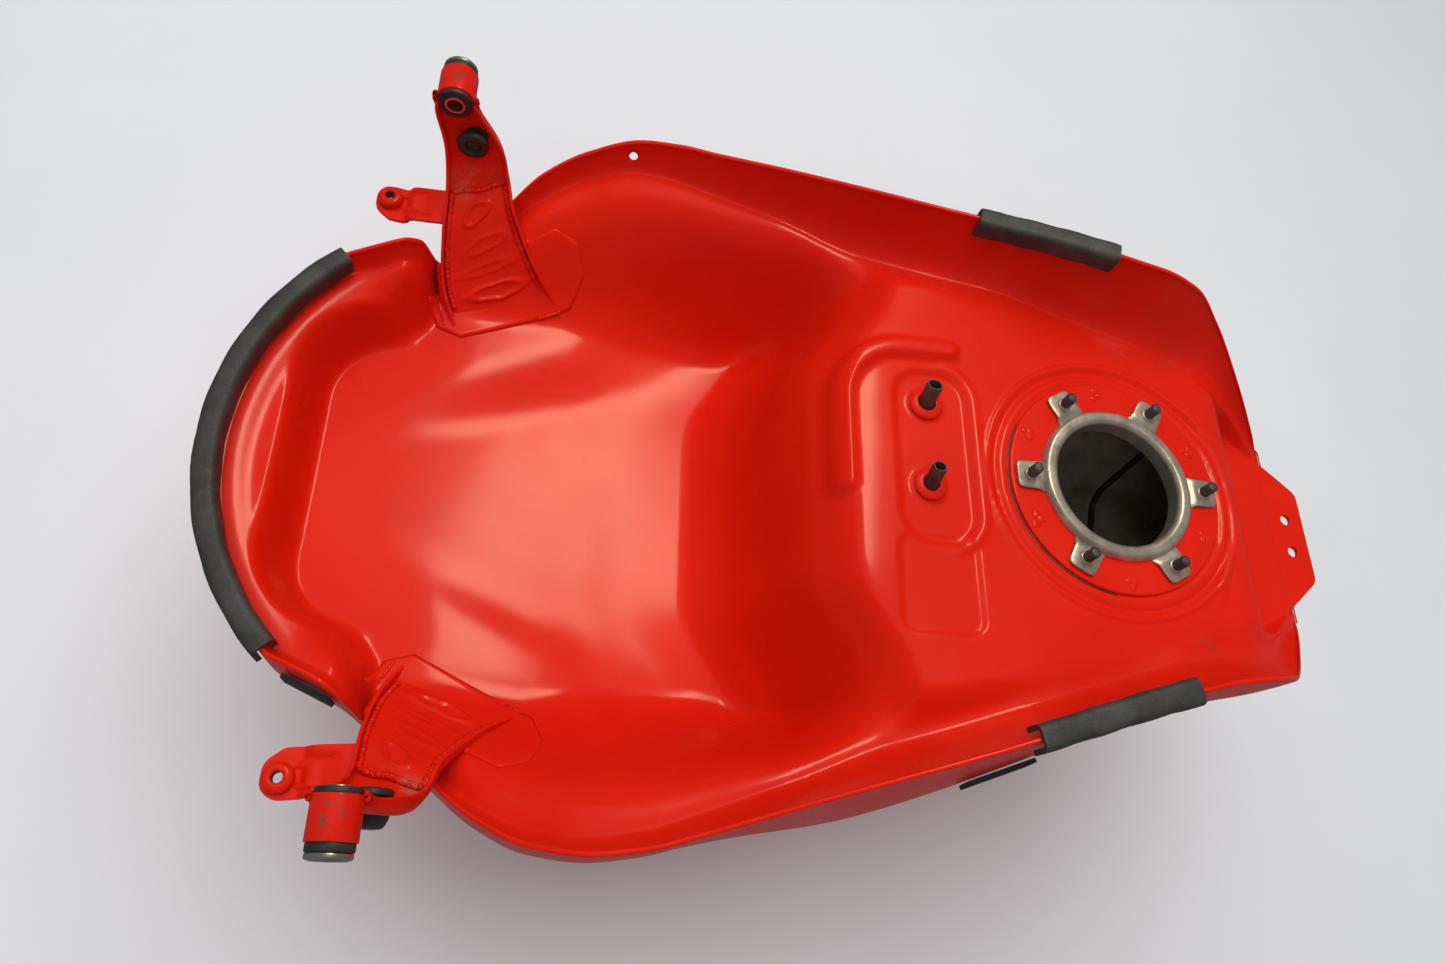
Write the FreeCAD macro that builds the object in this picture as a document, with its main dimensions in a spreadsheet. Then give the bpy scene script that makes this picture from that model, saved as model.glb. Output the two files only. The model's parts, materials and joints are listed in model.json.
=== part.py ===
import FreeCAD, Part
import math
import os

import Sketcher
from FreeCAD import Placement, Rotation, Vector

# Motorcycle fuel tank, lying upside down as it rests on a bench.
# Frame: +Z is up, out of the tank's underside. +X points to the tank's rear (the seat end),
# +Y to the tank's left side as fitted (it lies upside down), and y = 0 is the plane of symmetry.
# The origin is the centre of the fuel pump's stud circle, at the face the pump flange rests on.

doc = FreeCAD.newDocument("fuel_tank")

# ---------------------------------------------------------------- driving dimensions
DRIVING = [
    ("sheet_metal", 1.2, "pressed steel wall, measured along the press direction"),
    ("pan_hole_dia", 90, "hole in the bottom pan under the pump seat"),
    ("stud_circle", 104, "fuel pump stud circle diameter"),
    ("stud_dia", 6, "M6 fuel pump studs"),
    ("stud_rise", 9.5, "free height of a pump stud"),
    ("pump_bore", 72, "clear diameter of the pump opening"),
    ("rim_dia", 88, "outer diameter of the pump ring's rolled rim"),
    ("seat_dia", 125, "outer diameter of the pump seat plate"),
    ("ear_width", 17, "width of one ear of the pump ring"),
    ("ear_reach", 59, "radius at an ear's tip"),
    ("breather_dia", 8.8, "outside diameter of the breather pipe"),
    ("drain_dia", 7.8, "outside diameter of the drain pipe"),
    ("pipe_wall", 1.0, "wall of both small pipes"),
    ("pipe_rise", 13, "height of the pipe mouths above their seats"),
    ("tube_dia", 20, "mount tube outside diameter"),
    ("tube_bore", 16.4, "mount tube inside diameter"),
    ("tube_inner_y", 176.5, "inner end of a mount tube from the centre plane"),
    ("tube_outer_y", 196, "outer end of a mount tube from the centre plane"),
    ("mount_x", -371, "mount tube axis from the pump centre, towards the front"),
    ("mount_z", 12, "mount tube axis height"),
    ("collar_dia", 11, "steel collar outside diameter"),
    ("collar_bore", 8.2, "steel collar bore for an M8 bolt"),
    ("washer_dia", 18, "washer welded to the collar's outer end"),
    ("tab_hole_dia", 7, "rear tab bolt hole diameter"),
    ("tab_hole_gap", 20.8, "distance between the two rear tab holes"),
    ("tab_hole_x", 145.6, "rear tab holes behind the pump centre"),
    ("tab_z", -40.3, "top face of the rear tab"),
    ("stay_hole", 5.2, "bore of the weld nut on a cowl stay"),
    ("stay_boss", 14.5, "diameter of the weld nut on a cowl stay"),
    ("cap_x", -226, "filler cap centre from the pump centre"),
    ("cap_face_z", -256, "lowest face of the filler cap ring"),
    ("cap_ring_dia", 104, "outside diameter of the filler cap ring"),
    ("cap_ring_depth", 6, "depth of the filler cap ring"),
    ("lid_dia", 66, "filler lid diameter"),
    ("plug_dia", 48, "filler plug diameter"),
    ("neck_bore", 60, "filler neck inside diameter"),
    ("hinge_reach", 41, "lid hinge pin from the cap centre"),
    ("hinge_pin_dia", 3, "lid hinge pin diameter"),
    ("lock_dia", 17, "lock cylinder diameter"),
    ("front_arc", 154, "plan radius of the front edge"),
    ("front_arc_x", -314, "centre of the front edge's plan arc"),
]
dims = doc.addObject("Spreadsheet::Sheet", "dims")
for row, (alias, value, note) in enumerate(DRIVING, start=1):
    dims.set(f"A{row}", str(value))
    dims.setAlias(f"A{row}", alias)
    dims.set(f"B{row}", note)
doc.recompute()


class Dim:
    """A number together with the sheet expression it comes from."""

    def __init__(self, value, text):
        self.value = float(value)
        self.text = text

    def _join(self, other, sign, value):
        return Dim(value, f"({self.text} {sign} {as_dim(other).text})")

    def __add__(self, other):
        return self._join(other, "+", self.value + as_dim(other).value)

    def __sub__(self, other):
        return self._join(other, "-", self.value - as_dim(other).value)

    def __mul__(self, other):
        return self._join(other, "*", self.value * as_dim(other).value)

    def __truediv__(self, other):
        return self._join(other, "/", self.value / as_dim(other).value)

    def __neg__(self):
        return Dim(-self.value, f"(0 - {self.text})")


def as_dim(item):
    return item if isinstance(item, Dim) else Dim(item, f"{float(item):g}")


def cell(alias):
    return Dim(dims.get(alias), f"dims.{alias}")


def number(alias):
    return float(dims.get(alias))


SHEET = number("sheet_metal")
SIDES = (("left", 1), ("right", -1))
NODES = []


def keep(item):
    """Remember a finished sub-part, to be checked and written."""
    NODES.append(item)
    return item


# ---------------------------------------------------------------- PartDesign helpers
def new_body(label):
    body = doc.addObject("PartDesign::Body", "body_" + label)
    body.Label = label
    return body


def origin_item(body, role):
    return next(item for item in body.Origin.OriginFeatures if item.Role == role)


def new_sketch(body, role, name):
    sketch = body.newObject("Sketcher::SketchObject", name)
    sketch.AttachmentSupport = [(origin_item(body, role), "")]
    sketch.MapMode = "FlatFace"
    return sketch


def pin_point(sketch, geo, pos, across, up):
    """Hold one sketch point at (across, up), each bound to the sheet."""
    for kind, dim, axis in (("DistanceX", across, -2), ("DistanceY", up, -1)):
        dim = as_dim(dim)
        if abs(dim.value) < 1e-9:
            sketch.addConstraint(Sketcher.Constraint("PointOnObject", geo, pos, axis))
            continue
        index = sketch.addConstraint(Sketcher.Constraint(kind, -1, 1, geo, pos, dim.value))
        sketch.setExpression(f"Constraints[{index}]", dim.text)


def add_polygon(sketch, points):
    first = sketch.GeometryCount
    corners = [Vector(as_dim(a).value, as_dim(b).value, 0) for a, b in points]
    for start, end in zip(corners, corners[1:] + corners[:1]):
        sketch.addGeometry(Part.LineSegment(start, end), False)
    for i, (across, up) in enumerate(points):
        nxt = first + (i - 1) % len(points)
        sketch.addConstraint(Sketcher.Constraint("Coincident", nxt, 2, first + i, 1))
        pin_point(sketch, first + i, 1, across, up)


def add_circle(sketch, across, up, diameter):
    geo = sketch.addGeometry(
        Part.Circle(Vector(as_dim(across).value, as_dim(up).value, 0), Vector(0, 0, 1),
                    as_dim(diameter).value / 2), False)
    pin_point(sketch, geo, 3, across, up)
    index = sketch.addConstraint(Sketcher.Constraint("Diameter", geo, as_dim(diameter).value))
    sketch.setExpression(f"Constraints[{index}]", as_dim(diameter).text)


def turned_body(label, profile, placement=None):
    """A Body made by revolving one (radius, height) polygon about its own Z axis."""
    body = new_body(label)
    sketch = new_sketch(body, "XZ_Plane", label + "_profile")
    add_polygon(sketch, profile)
    turn = body.newObject("PartDesign::Revolution", label + "_turn")
    turn.Profile = sketch
    turn.ReferenceAxis = (sketch, ["V_Axis"])
    turn.Angle = 360
    if placement:
        body.Placement = placement
    return body


def padded_body(label, points, depth, holes=(), placement=None):
    """A Body made by padding one (x, y) polygon with round holes along its own +Z."""
    body = new_body(label)
    sketch = new_sketch(body, "XY_Plane", label + "_outline")
    add_polygon(sketch, points)
    for across, up, diameter in holes:
        add_circle(sketch, across, up, diameter)
    pad = body.newObject("PartDesign::Pad", label + "_pad")
    pad.Profile = sketch
    pad.setExpression("Length", as_dim(depth).text)
    if placement:
        body.Placement = placement
    return body


def primitive(kind, name, placement, **sizes):
    item = doc.addObject("Part::" + kind, name)
    for prop, dim in sizes.items():
        item.setExpression(prop, as_dim(dim).text)
    item.Placement = placement
    return item


def boolean(kind, name, base, tool):
    item = doc.addObject("Part::" + kind, name)
    item.Base = base
    item.Tool = tool
    return item


def at(x, y, z, rotation=None):
    return Placement(Vector(x, y, z), rotation or Rotation())


def feature(label, shape):
    item = doc.addObject("Part::Feature", label + "_shape")
    item.Shape = shape
    item.Label = label
    return keep(item)


# ---------------------------------------------------------------- pressed shell shapes
def through(points):
    """A smooth function through (input, output) pairs that never overshoots them."""
    xs = [p[0] for p in points]
    ys = [p[1] for p in points]
    step = [(ys[i + 1] - ys[i]) / (xs[i + 1] - xs[i]) for i in range(len(xs) - 1)]
    slope = [step[0]] + [0.0] * (len(xs) - 2) + [step[-1]]
    for i in range(1, len(xs) - 1):
        if step[i - 1] * step[i] > 0:
            slope[i] = 2 * step[i - 1] * step[i] / (step[i - 1] + step[i])

    def value(x):
        x = min(max(x, xs[0]), xs[-1])
        i = 0
        while i < len(xs) - 2 and x > xs[i + 1]:
            i += 1
        width = xs[i + 1] - xs[i]
        u = (x - xs[i]) / width
        return ((1 + 2 * u) * (1 - u) ** 2 * ys[i] + u * (1 - u) ** 2 * width * slope[i]
                + u * u * (3 - 2 * u) * ys[i + 1] + u * u * (u - 1) * width * slope[i + 1])

    return value


def ease(low, high, x):
    """From 0 to 1 between low and high, with no break in slope or curvature at either end."""
    u = min(max((x - low) / (high - low), 0.0), 1.0)
    return u ** 3 * (10 - 15 * u + 6 * u * u)


def climb(low, high, x):
    """From 0 to 1, level at first and steepest at the end, like a flange rolled up to a rim."""
    return min(max((x - low) / (high - low), 0.0), 1.0) ** 2


# the tank's edge on one side, where pan and skin are welded together: (x, half width, height)
EDGE = [(-420.75, 111, -46), (-396, 122, -43), (-386, 128, -50), (-377, 134, -78),
        (-359, 148, -72), (-341, 164, -52), (-323, 178, -37), (-297, 190, -25),
        (-271, 193.5, -14), (-247, 191, -9), (-226, 185.5, -5),
        (-185, 173.5, 5), (-98, 149, 22), (-5, 120.5, 40), (20, 114.5, 41), (45, 110.5, 35),
        (72, 104, 15), (104, 79, -13), (135, 54, -44)]
FRONT_X, FRONT_Z, REAR_X = EDGE[0][0], EDGE[0][2], EDGE[-1][0]
ARC_R, ARC_X = number("front_arc"), number("front_arc_x")
half_width = through([(x, w) for x, w, _ in EDGE])
edge_height = through([(x, z) for x, _, z in EDGE])

# the lip: how far the pan's foot lies inside the edge, and how far below it
lip_inset = through([(-470, 5), (-396, 6), (-341, 7), (-271, 8), (-185, 12), (-133, 18),
                     (-5, 18), (43, 24), (72, 22), (104, 9), (135, 4)])
lip_drop = through([(-470, 11), (-396, 10), (-377, 12), (-341, 14), (-271, 17), (-185, 28),
                    (-133, 36), (-71, 36), (-5, 44), (43, 40), (72, 22), (104, 12), (135, 1)])
# the pan's floor on the centre plane, from the front edge over the tunnel to the pump plateau
floor_height = through([(-472, -92), (-430, -95), (-400, -98.2), (-370, -101.4), (-340, -104.5),
                        (-310, -107.4), (-280, -109.6), (-250, -110.8), (-222, -110), (-200, -94),
                        (-165, -24), (-145, -6), (-120, -4), (66, -4), (76, -6), (106, -40), (135, -44)])
# the tunnel's sides, and how far the ledges beside it lie above its floor
tunnel_half = through([(-425, 40), (-390, 45), (-360, 55), (-330, 68), (-298, 82), (-253, 102), (-215, 112)])
ledge_rise = through([(-425, 0), (-395, 3), (-350, 6), (-298, 6), (-253, 3), (-215, 0)])
# where the ledges end and the side slope up to the lip begins
floor_half = through([(-425, 62), (-400, 80), (-369, 98), (-340, 104), (-307, 107),
                      (-275, 100), (-215, 100), (-165, 112), (-110, 112), (-71, 106),
                      (0, 98), (43, 84), (72, 66), (106, 62), (135, 50)])
LEDGE_BLEND, PLATEAU_SETBACK = 30, 30
# the shelf along the front edge, and the rounded basin behind it
SHELF_DROP, SHELF_FALL = 11, 4
BASIN_X, BASIN_LONG, BASIN_WIDE, BASIN_CORNER = -242, 200, 97, 50


def basin_distance(x, y):
    """Distance to the outline of the front basin, negative inside."""
    along = abs(x - BASIN_X) - BASIN_LONG + BASIN_CORNER
    across = abs(y) - BASIN_WIDE + BASIN_CORNER
    return (math.hypot(max(along, 0), max(across, 0)) + min(max(along, across), 0)) - BASIN_CORNER


def pan_height(x, y):
    """Height of the bottom pan over the point (x, y)."""
    across = abs(y)
    if x < FRONT_X:
        edge = math.sqrt(max(ARC_R ** 2 - (x - ARC_X) ** 2, 0.0))
        top = FRONT_Z
    else:
        edge, top = half_width(x), edge_height(x)
    inset, drop = lip_inset(x), lip_drop(x)
    foot = max(edge - inset, 0.6 * edge, 1.0)
    edge = max(edge, foot + 1.0)
    root = top - drop
    flat = min(floor_half(x), 0.9 * foot)
    side = tunnel_half(x)
    setback = PLATEAU_SETBACK * ease(45, 130, across) * ease(-60, -110, x)
    base = floor_height(x - setback) + ledge_rise(x) * ease(side - LEDGE_BLEND, side + LEDGE_BLEND, across)
    height = base + (root - base) * ease(flat, foot, across)
    if x < -380:
        reach = ARC_R - math.hypot(x - ARC_X, y)
        shelf = FRONT_Z - SHELF_DROP - SHELF_FALL * ease(4, 24, reach)
        shelf += (base - shelf) * ease(1.5, -16, basin_distance(x, y))
        height += (shelf - height) * ease(-380, -420, x)
        if x < FRONT_X:
            return height + SHELF_DROP * climb(5, 0, reach)
    return height + (top - height) * climb(foot, edge, across)


def pan_point(along, across):
    """A point of the pan for along and across in 0..1 and -1..1."""
    x = FRONT_X + (REAR_X - FRONT_X) * along
    y = half_width(x) * across
    front = half_width(FRONT_X)
    bow = math.sqrt(ARC_R ** 2 - (front * across) ** 2) - math.sqrt(ARC_R ** 2 - front ** 2)
    x -= bow * max(1 - along / 0.25, 0.0) ** 2
    if across in (1, -1) and x >= FRONT_X:
        return Vector(x, y, edge_height(x))
    return Vector(x, y, pan_height(x, y))


def smooth_face(grid):
    """A cubic surface drawn by a grid of poles: it follows them closely and never ripples."""
    surface = Part.BSplineSurface()
    knots, mults = [], []
    for count in (len(grid), len(grid[0])):
        knots.append([float(i) for i in range(count - 2)])
        mults.append([4] + [1] * (count - 4) + [4])
    surface.buildFromPolesMultsKnots(grid, mults[0], mults[1], knots[0], knots[1], False, False, 3, 3)
    return surface.toShape()


across_steps = [math.copysign(1, s) * (1 - (1 - abs(s)) ** 1.4) if s else 0.0
                for s in [i / 22 for i in range(-22, 23)]]
along_steps = [0, 0.0013, 0.0027, 0.0043, 0.0065, 0.0105] + [i / 64 for i in range(1, 65)]
pan_face = smooth_face([[pan_point(a, s) for s in across_steps] for a in along_steps])
pan_solid = pan_face.extrude(Vector(0, 0, -SHEET))
pan_hole = Part.makeCylinder(number("pan_hole_dia") / 2, 60, Vector(0, 0, -40))
PIPES = (("breather", -107, 37.5), ("drain", -108, -10.4))
for _, x, y in PIPES:
    pan_hole = pan_hole.fuse(Part.makeCylinder(6, 40, Vector(x, y, -25)))
feature("bottom_pan", pan_solid.cut(pan_hole))


def on_pan(x, y):
    """Height of the pan's upper face, as made, over (x, y)."""
    height = pan_height(x, y)
    for _ in range(4):
        u, v = pan_face.Surface.parameter(Vector(x, y, height))
        height = pan_face.Surface.value(u, v).z
    return height


# the outer skin: the edge runs round to the keel, the tank's top line in the centre plane
keel_height = through([(-462, -75), (-450, -115), (-425, -165), (-380, -210), (-320, -236),
                       (-240, -250), (-170, -244), (-110, -226), (-50, -190), (20, -140),
                       (80, -98), (135, -58)])
swell = through([(0, 2), (0.25, 4), (0.4, 4), (0.55, 16), (0.68, 10), (0.8, 2), (0.9, 0), (1, 0)])
KEEL_FRONT, KEEL_REAR = -415, 112
SKIN_OUT = 2.0


def edge_point(along):
    """The tank's edge from the front centre (0) to the rear centre (1), moved out by the skin."""
    arc_part, rear_part = 0.16, 0.92
    turn = math.asin(half_width(FRONT_X) / ARC_R)
    if along < arc_part:
        angle = turn * along / arc_part
        radius = ARC_R + SKIN_OUT
        return Vector(ARC_X - radius * math.cos(angle), radius * math.sin(angle), FRONT_Z)
    if along > rear_part:
        u = (along - rear_part) / (1 - rear_part)
        return Vector(REAR_X + SKIN_OUT, (half_width(REAR_X) + SKIN_OUT) * (1 - u), edge_height(REAR_X))
    u = (along - arc_part) / (rear_part - arc_part)
    x = FRONT_X + (REAR_X - FRONT_X) * u
    return Vector(x, half_width(x) + SKIN_OUT, edge_height(x))


def skin_point(along, down):
    """A point of the left skin, from the edge (down = 0) to the keel (down = 1)."""
    edge = edge_point(along)
    keel_x = KEEL_FRONT + (KEEL_REAR - KEEL_FRONT) * along
    angle = down * math.pi / 2
    out = math.cos(angle) ** 0.8
    deep = math.sin(angle) ** 0.85
    bulge = swell(along) * math.sin(math.pi * min(down * 1.9, 1)) if down < 0.53 else 0.0
    y = SEAM_HALF + (edge.y - SEAM_HALF) * out + bulge
    x = keel_x + (edge.x - keel_x) * out
    z = edge.z + (keel_height(keel_x) - edge.z) * deep
    near_cap = 1 - ease(58, 84, math.hypot(x - number("cap_x"), y))
    return Vector(x, y, z + (number("cap_face_z") + number("cap_ring_depth") - z) * near_cap)


SEAM_HALF = 1.0
skin_rows = [i / 60 for i in range(61)]
skin_columns = [i / 24 for i in range(25)]
skin_face = smooth_face([[skin_point(a, d) for d in skin_columns] for a in skin_rows])
inward = Vector(0.25, -0.6, 0.75) * (1.25 * SHEET)
cap_hole = Part.makeCylinder(number("neck_bore") / 2 + 2, 60,
                             Vector(number("cap_x"), 0, number("cap_face_z") - 20))
skin_solid = skin_face.cut(cap_hole).Faces[0].extrude(inward)
feature("skin_left", skin_solid)
feature("skin_right", skin_solid.mirror(Vector(0, 0, 0), Vector(0, 1, 0)))

# ---------------------------------------------------------------- fuel pump opening
bore, rim = cell("pump_bore") / 2, cell("rim_dia") / 2
ring = new_body("pump_ring")
ring_profile = new_sketch(ring, "XZ_Plane", "pump_ring_profile")
add_polygon(ring_profile, [(bore, -9), (bore, 1), (bore + 2, 2), (rim - 2, 2), (rim, 0.5),
                           (rim, -2), (bore + 2, -2), (bore + 2, -9)])
ring_turn = ring.newObject("PartDesign::Revolution", "pump_ring_turn")
ring_turn.Profile = ring_profile
ring_turn.ReferenceAxis = (ring_profile, ["V_Axis"])
ring_turn.Angle = 360
ear_outline = new_sketch(ring, "XY_Plane", "ear_outline")
half_ear = cell("ear_width") / 2
add_polygon(ear_outline, [(rim - 3, -half_ear), (cell("ear_reach"), -half_ear + 1.5),
                          (cell("ear_reach"), half_ear - 1.5), (rim - 3, half_ear)])
ear = ring.newObject("PartDesign::Pad", "ear")
ear.Profile = ear_outline
ear.Length = 2
ear.Reversed = True
doc.recompute()
ears = ring.newObject("PartDesign::PolarPattern", "six_ears")
ears.Originals = [ear]
ears.Axis = (ear_outline, ["N_Axis"])
ears.Angle = 360
ears.Occurrences = 6
ring.Tip = ears
keep(ring)

seat = cell("seat_dia") / 2
keep(turned_body("pump_seat", [(rim - 4, -3.6), (seat, -3.6), (seat, -2.6), (seat - 1, -2.1),
                               (rim - 4, -2.1)]))

# a stud's plain shank is welded through ear and seat plate, and its thread starts at the ear's top
STUD_FOOT = -3.4
studs = []
for i in range(6):
    angle = math.radians(60 * i)
    radius = number("stud_circle") / 2
    x, y = radius * math.cos(angle), radius * math.sin(angle)
    shank = primitive("Cylinder", f"pump_stud_shank_{i}", at(x, y, STUD_FOOT),
                      Radius=cell("stud_dia") / 2 - 0.2, Height=-STUD_FOOT)
    thread = primitive("Cylinder", f"pump_stud_thread_{i}", at(x, y, 0),
                       Radius=cell("stud_dia") / 2, Height=cell("stud_rise"))
    studs.append(boolean("Fuse", f"pump_stud_{i}", shank, thread))
stud_group = doc.addObject("Part::Compound", "pump_studs_group")
stud_group.Links = studs
stud_group.Label = "pump_studs"
keep(stud_group)


# ---------------------------------------------------------------- breather and drain pipes
def tube_along(points, outer, inner, radius):
    """A bent pipe through the points, with arcs of one radius at its corners."""
    edges = []
    start = points[0]
    for before, corner, after in zip(points, points[1:], points[2:]):
        d_in = (corner - before).normalize()
        d_out = (after - corner).normalize()
        turn = d_in.getAngle(d_out)
        cut = radius * math.tan(turn / 2)
        arc_in, arc_out = corner - d_in * cut, corner + d_out * cut
        middle = corner + (d_out - d_in).normalize() * (radius / math.cos(turn / 2) - radius)
        edges.append(Part.LineSegment(start, arc_in).toShape())
        edges.append(Part.Arc(arc_in, middle, arc_out).toShape())
        start = arc_out
    edges.append(Part.LineSegment(start, points[-1]).toShape())
    path = Part.Wire(edges)
    direction = (points[1] - points[0]).normalize()
    solids = []
    for size in (outer, inner):
        section = Part.Wire([Part.makeCircle(size, points[0], direction)])
        solids.append(path.makePipeShell([section], True, False))
    return solids[0].cut(solids[1])


PIPE_LEAN = Vector(0, 4.5, number("pipe_rise"))
PIPE_SEAT_Z = -4
SEAT_WIDTH, SEAT_DEPTH = 4.5, 1.6
PIPE_ENDS = {"breather": (Vector(-100, 30, -150), Vector(-170, 12, -200), Vector(-186, 8, -214)),
             "drain": (Vector(-112, -40, -130), Vector(-178, -28, -205), Vector(-196, -24, -222))}
WALL = number("pipe_wall")
for name, x, y in PIPES:
    base = Vector(x, y, PIPE_SEAT_Z)
    outer = number(name + "_dia") / 2
    below = base - PIPE_LEAN * (30 / PIPE_LEAN.Length)
    feature(name + "_pipe", tube_along([base + PIPE_LEAN, below, *PIPE_ENDS[name]],
                                       outer, outer - WALL, 12))
    seat_ring = Part.makeCylinder(outer + SEAT_WIDTH, SEAT_DEPTH, base + Vector(0, 0, 0.05))
    seat_ring = seat_ring.cut(Part.makeCylinder(outer + 1, 9, base - Vector(0, 0, 4)))
    feature(name + "_pipe_seat", seat_ring)

# ---------------------------------------------------------------- anti-surge plate inside
BAFFLE_X = -132
baffle_plate = primitive("Box", "baffle_sheet", at(BAFFLE_X, -84, -118), Length=1.2, Width=168, Height=92)
baffle_tabs = primitive("Box", "baffle_tabs", at(BAFFLE_X, -70, -27.2), Length=16, Width=140, Height=1.2)
baffle = boolean("Fuse", "baffle_blank", baffle_plate, baffle_tabs)
for i, y in enumerate((-46, 0, 46)):
    flow = primitive("Cylinder", f"flow_hole_{i}", at(BAFFLE_X - 5, y, -78, Rotation(Vector(0, 1, 0), 90)),
                     Radius=15, Height=12)
    baffle = boolean("Cut", f"baffle_cut_{i}", baffle, flow)
baffle.Label = "baffle"
keep(baffle)


# ---------------------------------------------------------------- front mounts
def section_wire(left_tip, right_tip, path_dir, depth, gauge):
    """A U section: tips at the two flange edges, the web set back outward by depth."""
    span = (right_tip - left_tip).normalize()
    out = span.cross(path_dir).normalize()
    if out.y < 0:
        out = out * -1
    corners = [left_tip, left_tip + out * depth, right_tip + out * depth, right_tip,
               right_tip - span * gauge, right_tip - span * gauge + out * (depth - gauge),
               left_tip + span * gauge + out * (depth - gauge), left_tip + span * gauge]
    return Part.makePolygon(corners + corners[:1])


# flange edges of the left bracket from its foot on the pan to its upper end
BRACKET = [((-366, 99, -101), (-304, 124, -103)), ((-374.4, 119.6, -77), (-323.3, 137.6, -67)),
           ((-376.5, 140, -55.5), (-336.4, 154, -43.5)), ((-376, 159, -38), (-341, 167, -32)),
           ((-377, 169, -16), (-345, 174, -16)), ((-383.5, 173, 4), (-354, 175.5, 4)),
           ((-385.5, 174, 14), (-356.5, 175, 15))]
FLANGE, GAUGE = 7.5, 2.2


def mirrored(shape, side):
    return shape if side > 0 else shape.mirror(Vector(0, 0, 0), Vector(0, 1, 0))


left_tips = [Vector(*a) for a, _ in BRACKET]
right_tips = [Vector(*b) for _, b in BRACKET]
middles = [(a + b) * 0.5 for a, b in zip(left_tips, right_tips)]
last = len(BRACKET) - 1
headings = [(middles[min(i + 1, last)] - middles[max(i - 1, 0)]).normalize() for i in range(last + 1)]
bracket_wires = [section_wire(a, b, d, FLANGE, GAUGE)
                 for a, b, d in zip(left_tips, right_tips, headings)]
bracket_solid = Part.makeLoft(bracket_wires, True, True)
MOUNT_X, MOUNT_Z = number("mount_x"), number("mount_z")
tube_room = Part.makeCylinder(number("tube_dia") / 2 + 0.02, 60, Vector(MOUNT_X, 150, MOUNT_Z),
                              Vector(0, 1, 0))
knob_at = Vector(-362, 171.5, -15)
knob_room = Part.makeCylinder(8.6, 40, knob_at, Vector(0, 1, 0))
PATCH_AT, PATCH_TURN = Vector(-337, 126, 0), math.radians(25)
PATCH_LONG, PATCH_WIDE, PATCH_GAUGE, WELD_GAP = 46, 17, 1.5, 1.7


def patch_point(u, v, height, spread=1.0):
    """A point over the foot plate: u and v run over -1..1, corners cut off like an octagon."""
    reach = 1 - 0.25 * max(abs(v) - 0.4, 0) / 0.6
    x, y = u * PATCH_LONG * reach * spread, v * PATCH_WIDE * spread
    px = PATCH_AT.x + x * math.cos(PATCH_TURN) - y * math.sin(PATCH_TURN)
    py = PATCH_AT.y + x * math.sin(PATCH_TURN) + y * math.cos(PATCH_TURN)
    return Vector(px, py, on_pan(px, py) + height)


def patch_face(height, spread=1.0):
    steps = [i / 10 for i in range(-10, 11)]
    return smooth_face([[patch_point(u, v, height, spread) for v in steps] for u in steps])


patch_solid = patch_face(WELD_GAP + PATCH_GAUGE).extrude(Vector(0, 0, -PATCH_GAUGE))
patch_room = patch_face(WELD_GAP + PATCH_GAUGE + 0.2, 1.25).extrude(Vector(0, 0, -40))
bracket_solid = bracket_solid.cut(tube_room).cut(knob_room).cut(patch_room)

doubler_wires = []
for a, b, d in list(zip(left_tips, right_tips, headings))[:4]:
    span = (b - a).normalize()
    out = span.cross(d).normalize()
    out = out if out.y > 0 else out * -1
    low = a + span * (GAUGE + 1) + out * (FLANGE - GAUGE - 0.1)
    high = b - span * (GAUGE + 1) + out * (FLANGE - GAUGE - 0.1)
    doubler_wires.append(Part.makePolygon([low, high, high - out * 1.8, low - out * 1.8, low]))
doubler_solid = Part.makeLoft(doubler_wires, True, True).cut(patch_room)

# the cowl stay: a flat arm around its weld nut, with a slope up to the bracket
STAY_Z, STAY_GAUGE, STAY_RISE = -62, 2, 7
STAY_BEND_X, STAY_ROOT_X, STAY_Y = -397, -376, (149, 172)
BOSS_AT = Vector(-408.6, 163.6, STAY_Z)
stay_tip = [Vector(x, y, STAY_Z) for x, y in
            ((STAY_BEND_X, STAY_Y[0]), (-409, 151), (-416, 158), (-416, 169), (-409, 173), (STAY_BEND_X, STAY_Y[1]))]


def stay_section(x, z):
    """The slope's rectangular section at one x."""
    corners = [Vector(x, STAY_Y[0], z), Vector(x, STAY_Y[1], z),
               Vector(x, STAY_Y[1], z + STAY_GAUGE), Vector(x, STAY_Y[0], z + STAY_GAUGE)]
    return Part.makePolygon(corners + corners[:1])


stay_flat = Part.Face(Part.makePolygon(stay_tip + stay_tip[:1])).extrude(Vector(0, 0, STAY_GAUGE))
stay_slope = Part.makeLoft([stay_section(STAY_BEND_X, STAY_Z),
                            stay_section(STAY_ROOT_X, STAY_Z + STAY_RISE)], True)
stay_solid = stay_flat.fuse(stay_slope).removeSplitter()
stay_solid = stay_solid.cut(Part.makeCylinder(number("stay_hole") / 2, 20, BOSS_AT - Vector(0, 0, 10)))
stay_solid = stay_solid.cut(bracket_solid).Solids[0]

for side_name, side in SIDES:
    feature("bracket_" + side_name, mirrored(bracket_solid, side))
    feature("bracket_doubler_" + side_name, mirrored(doubler_solid, side))
    feature("foot_plate_" + side_name, mirrored(patch_solid, side))
    feature("cowl_stay_" + side_name, mirrored(stay_solid, side))

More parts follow.
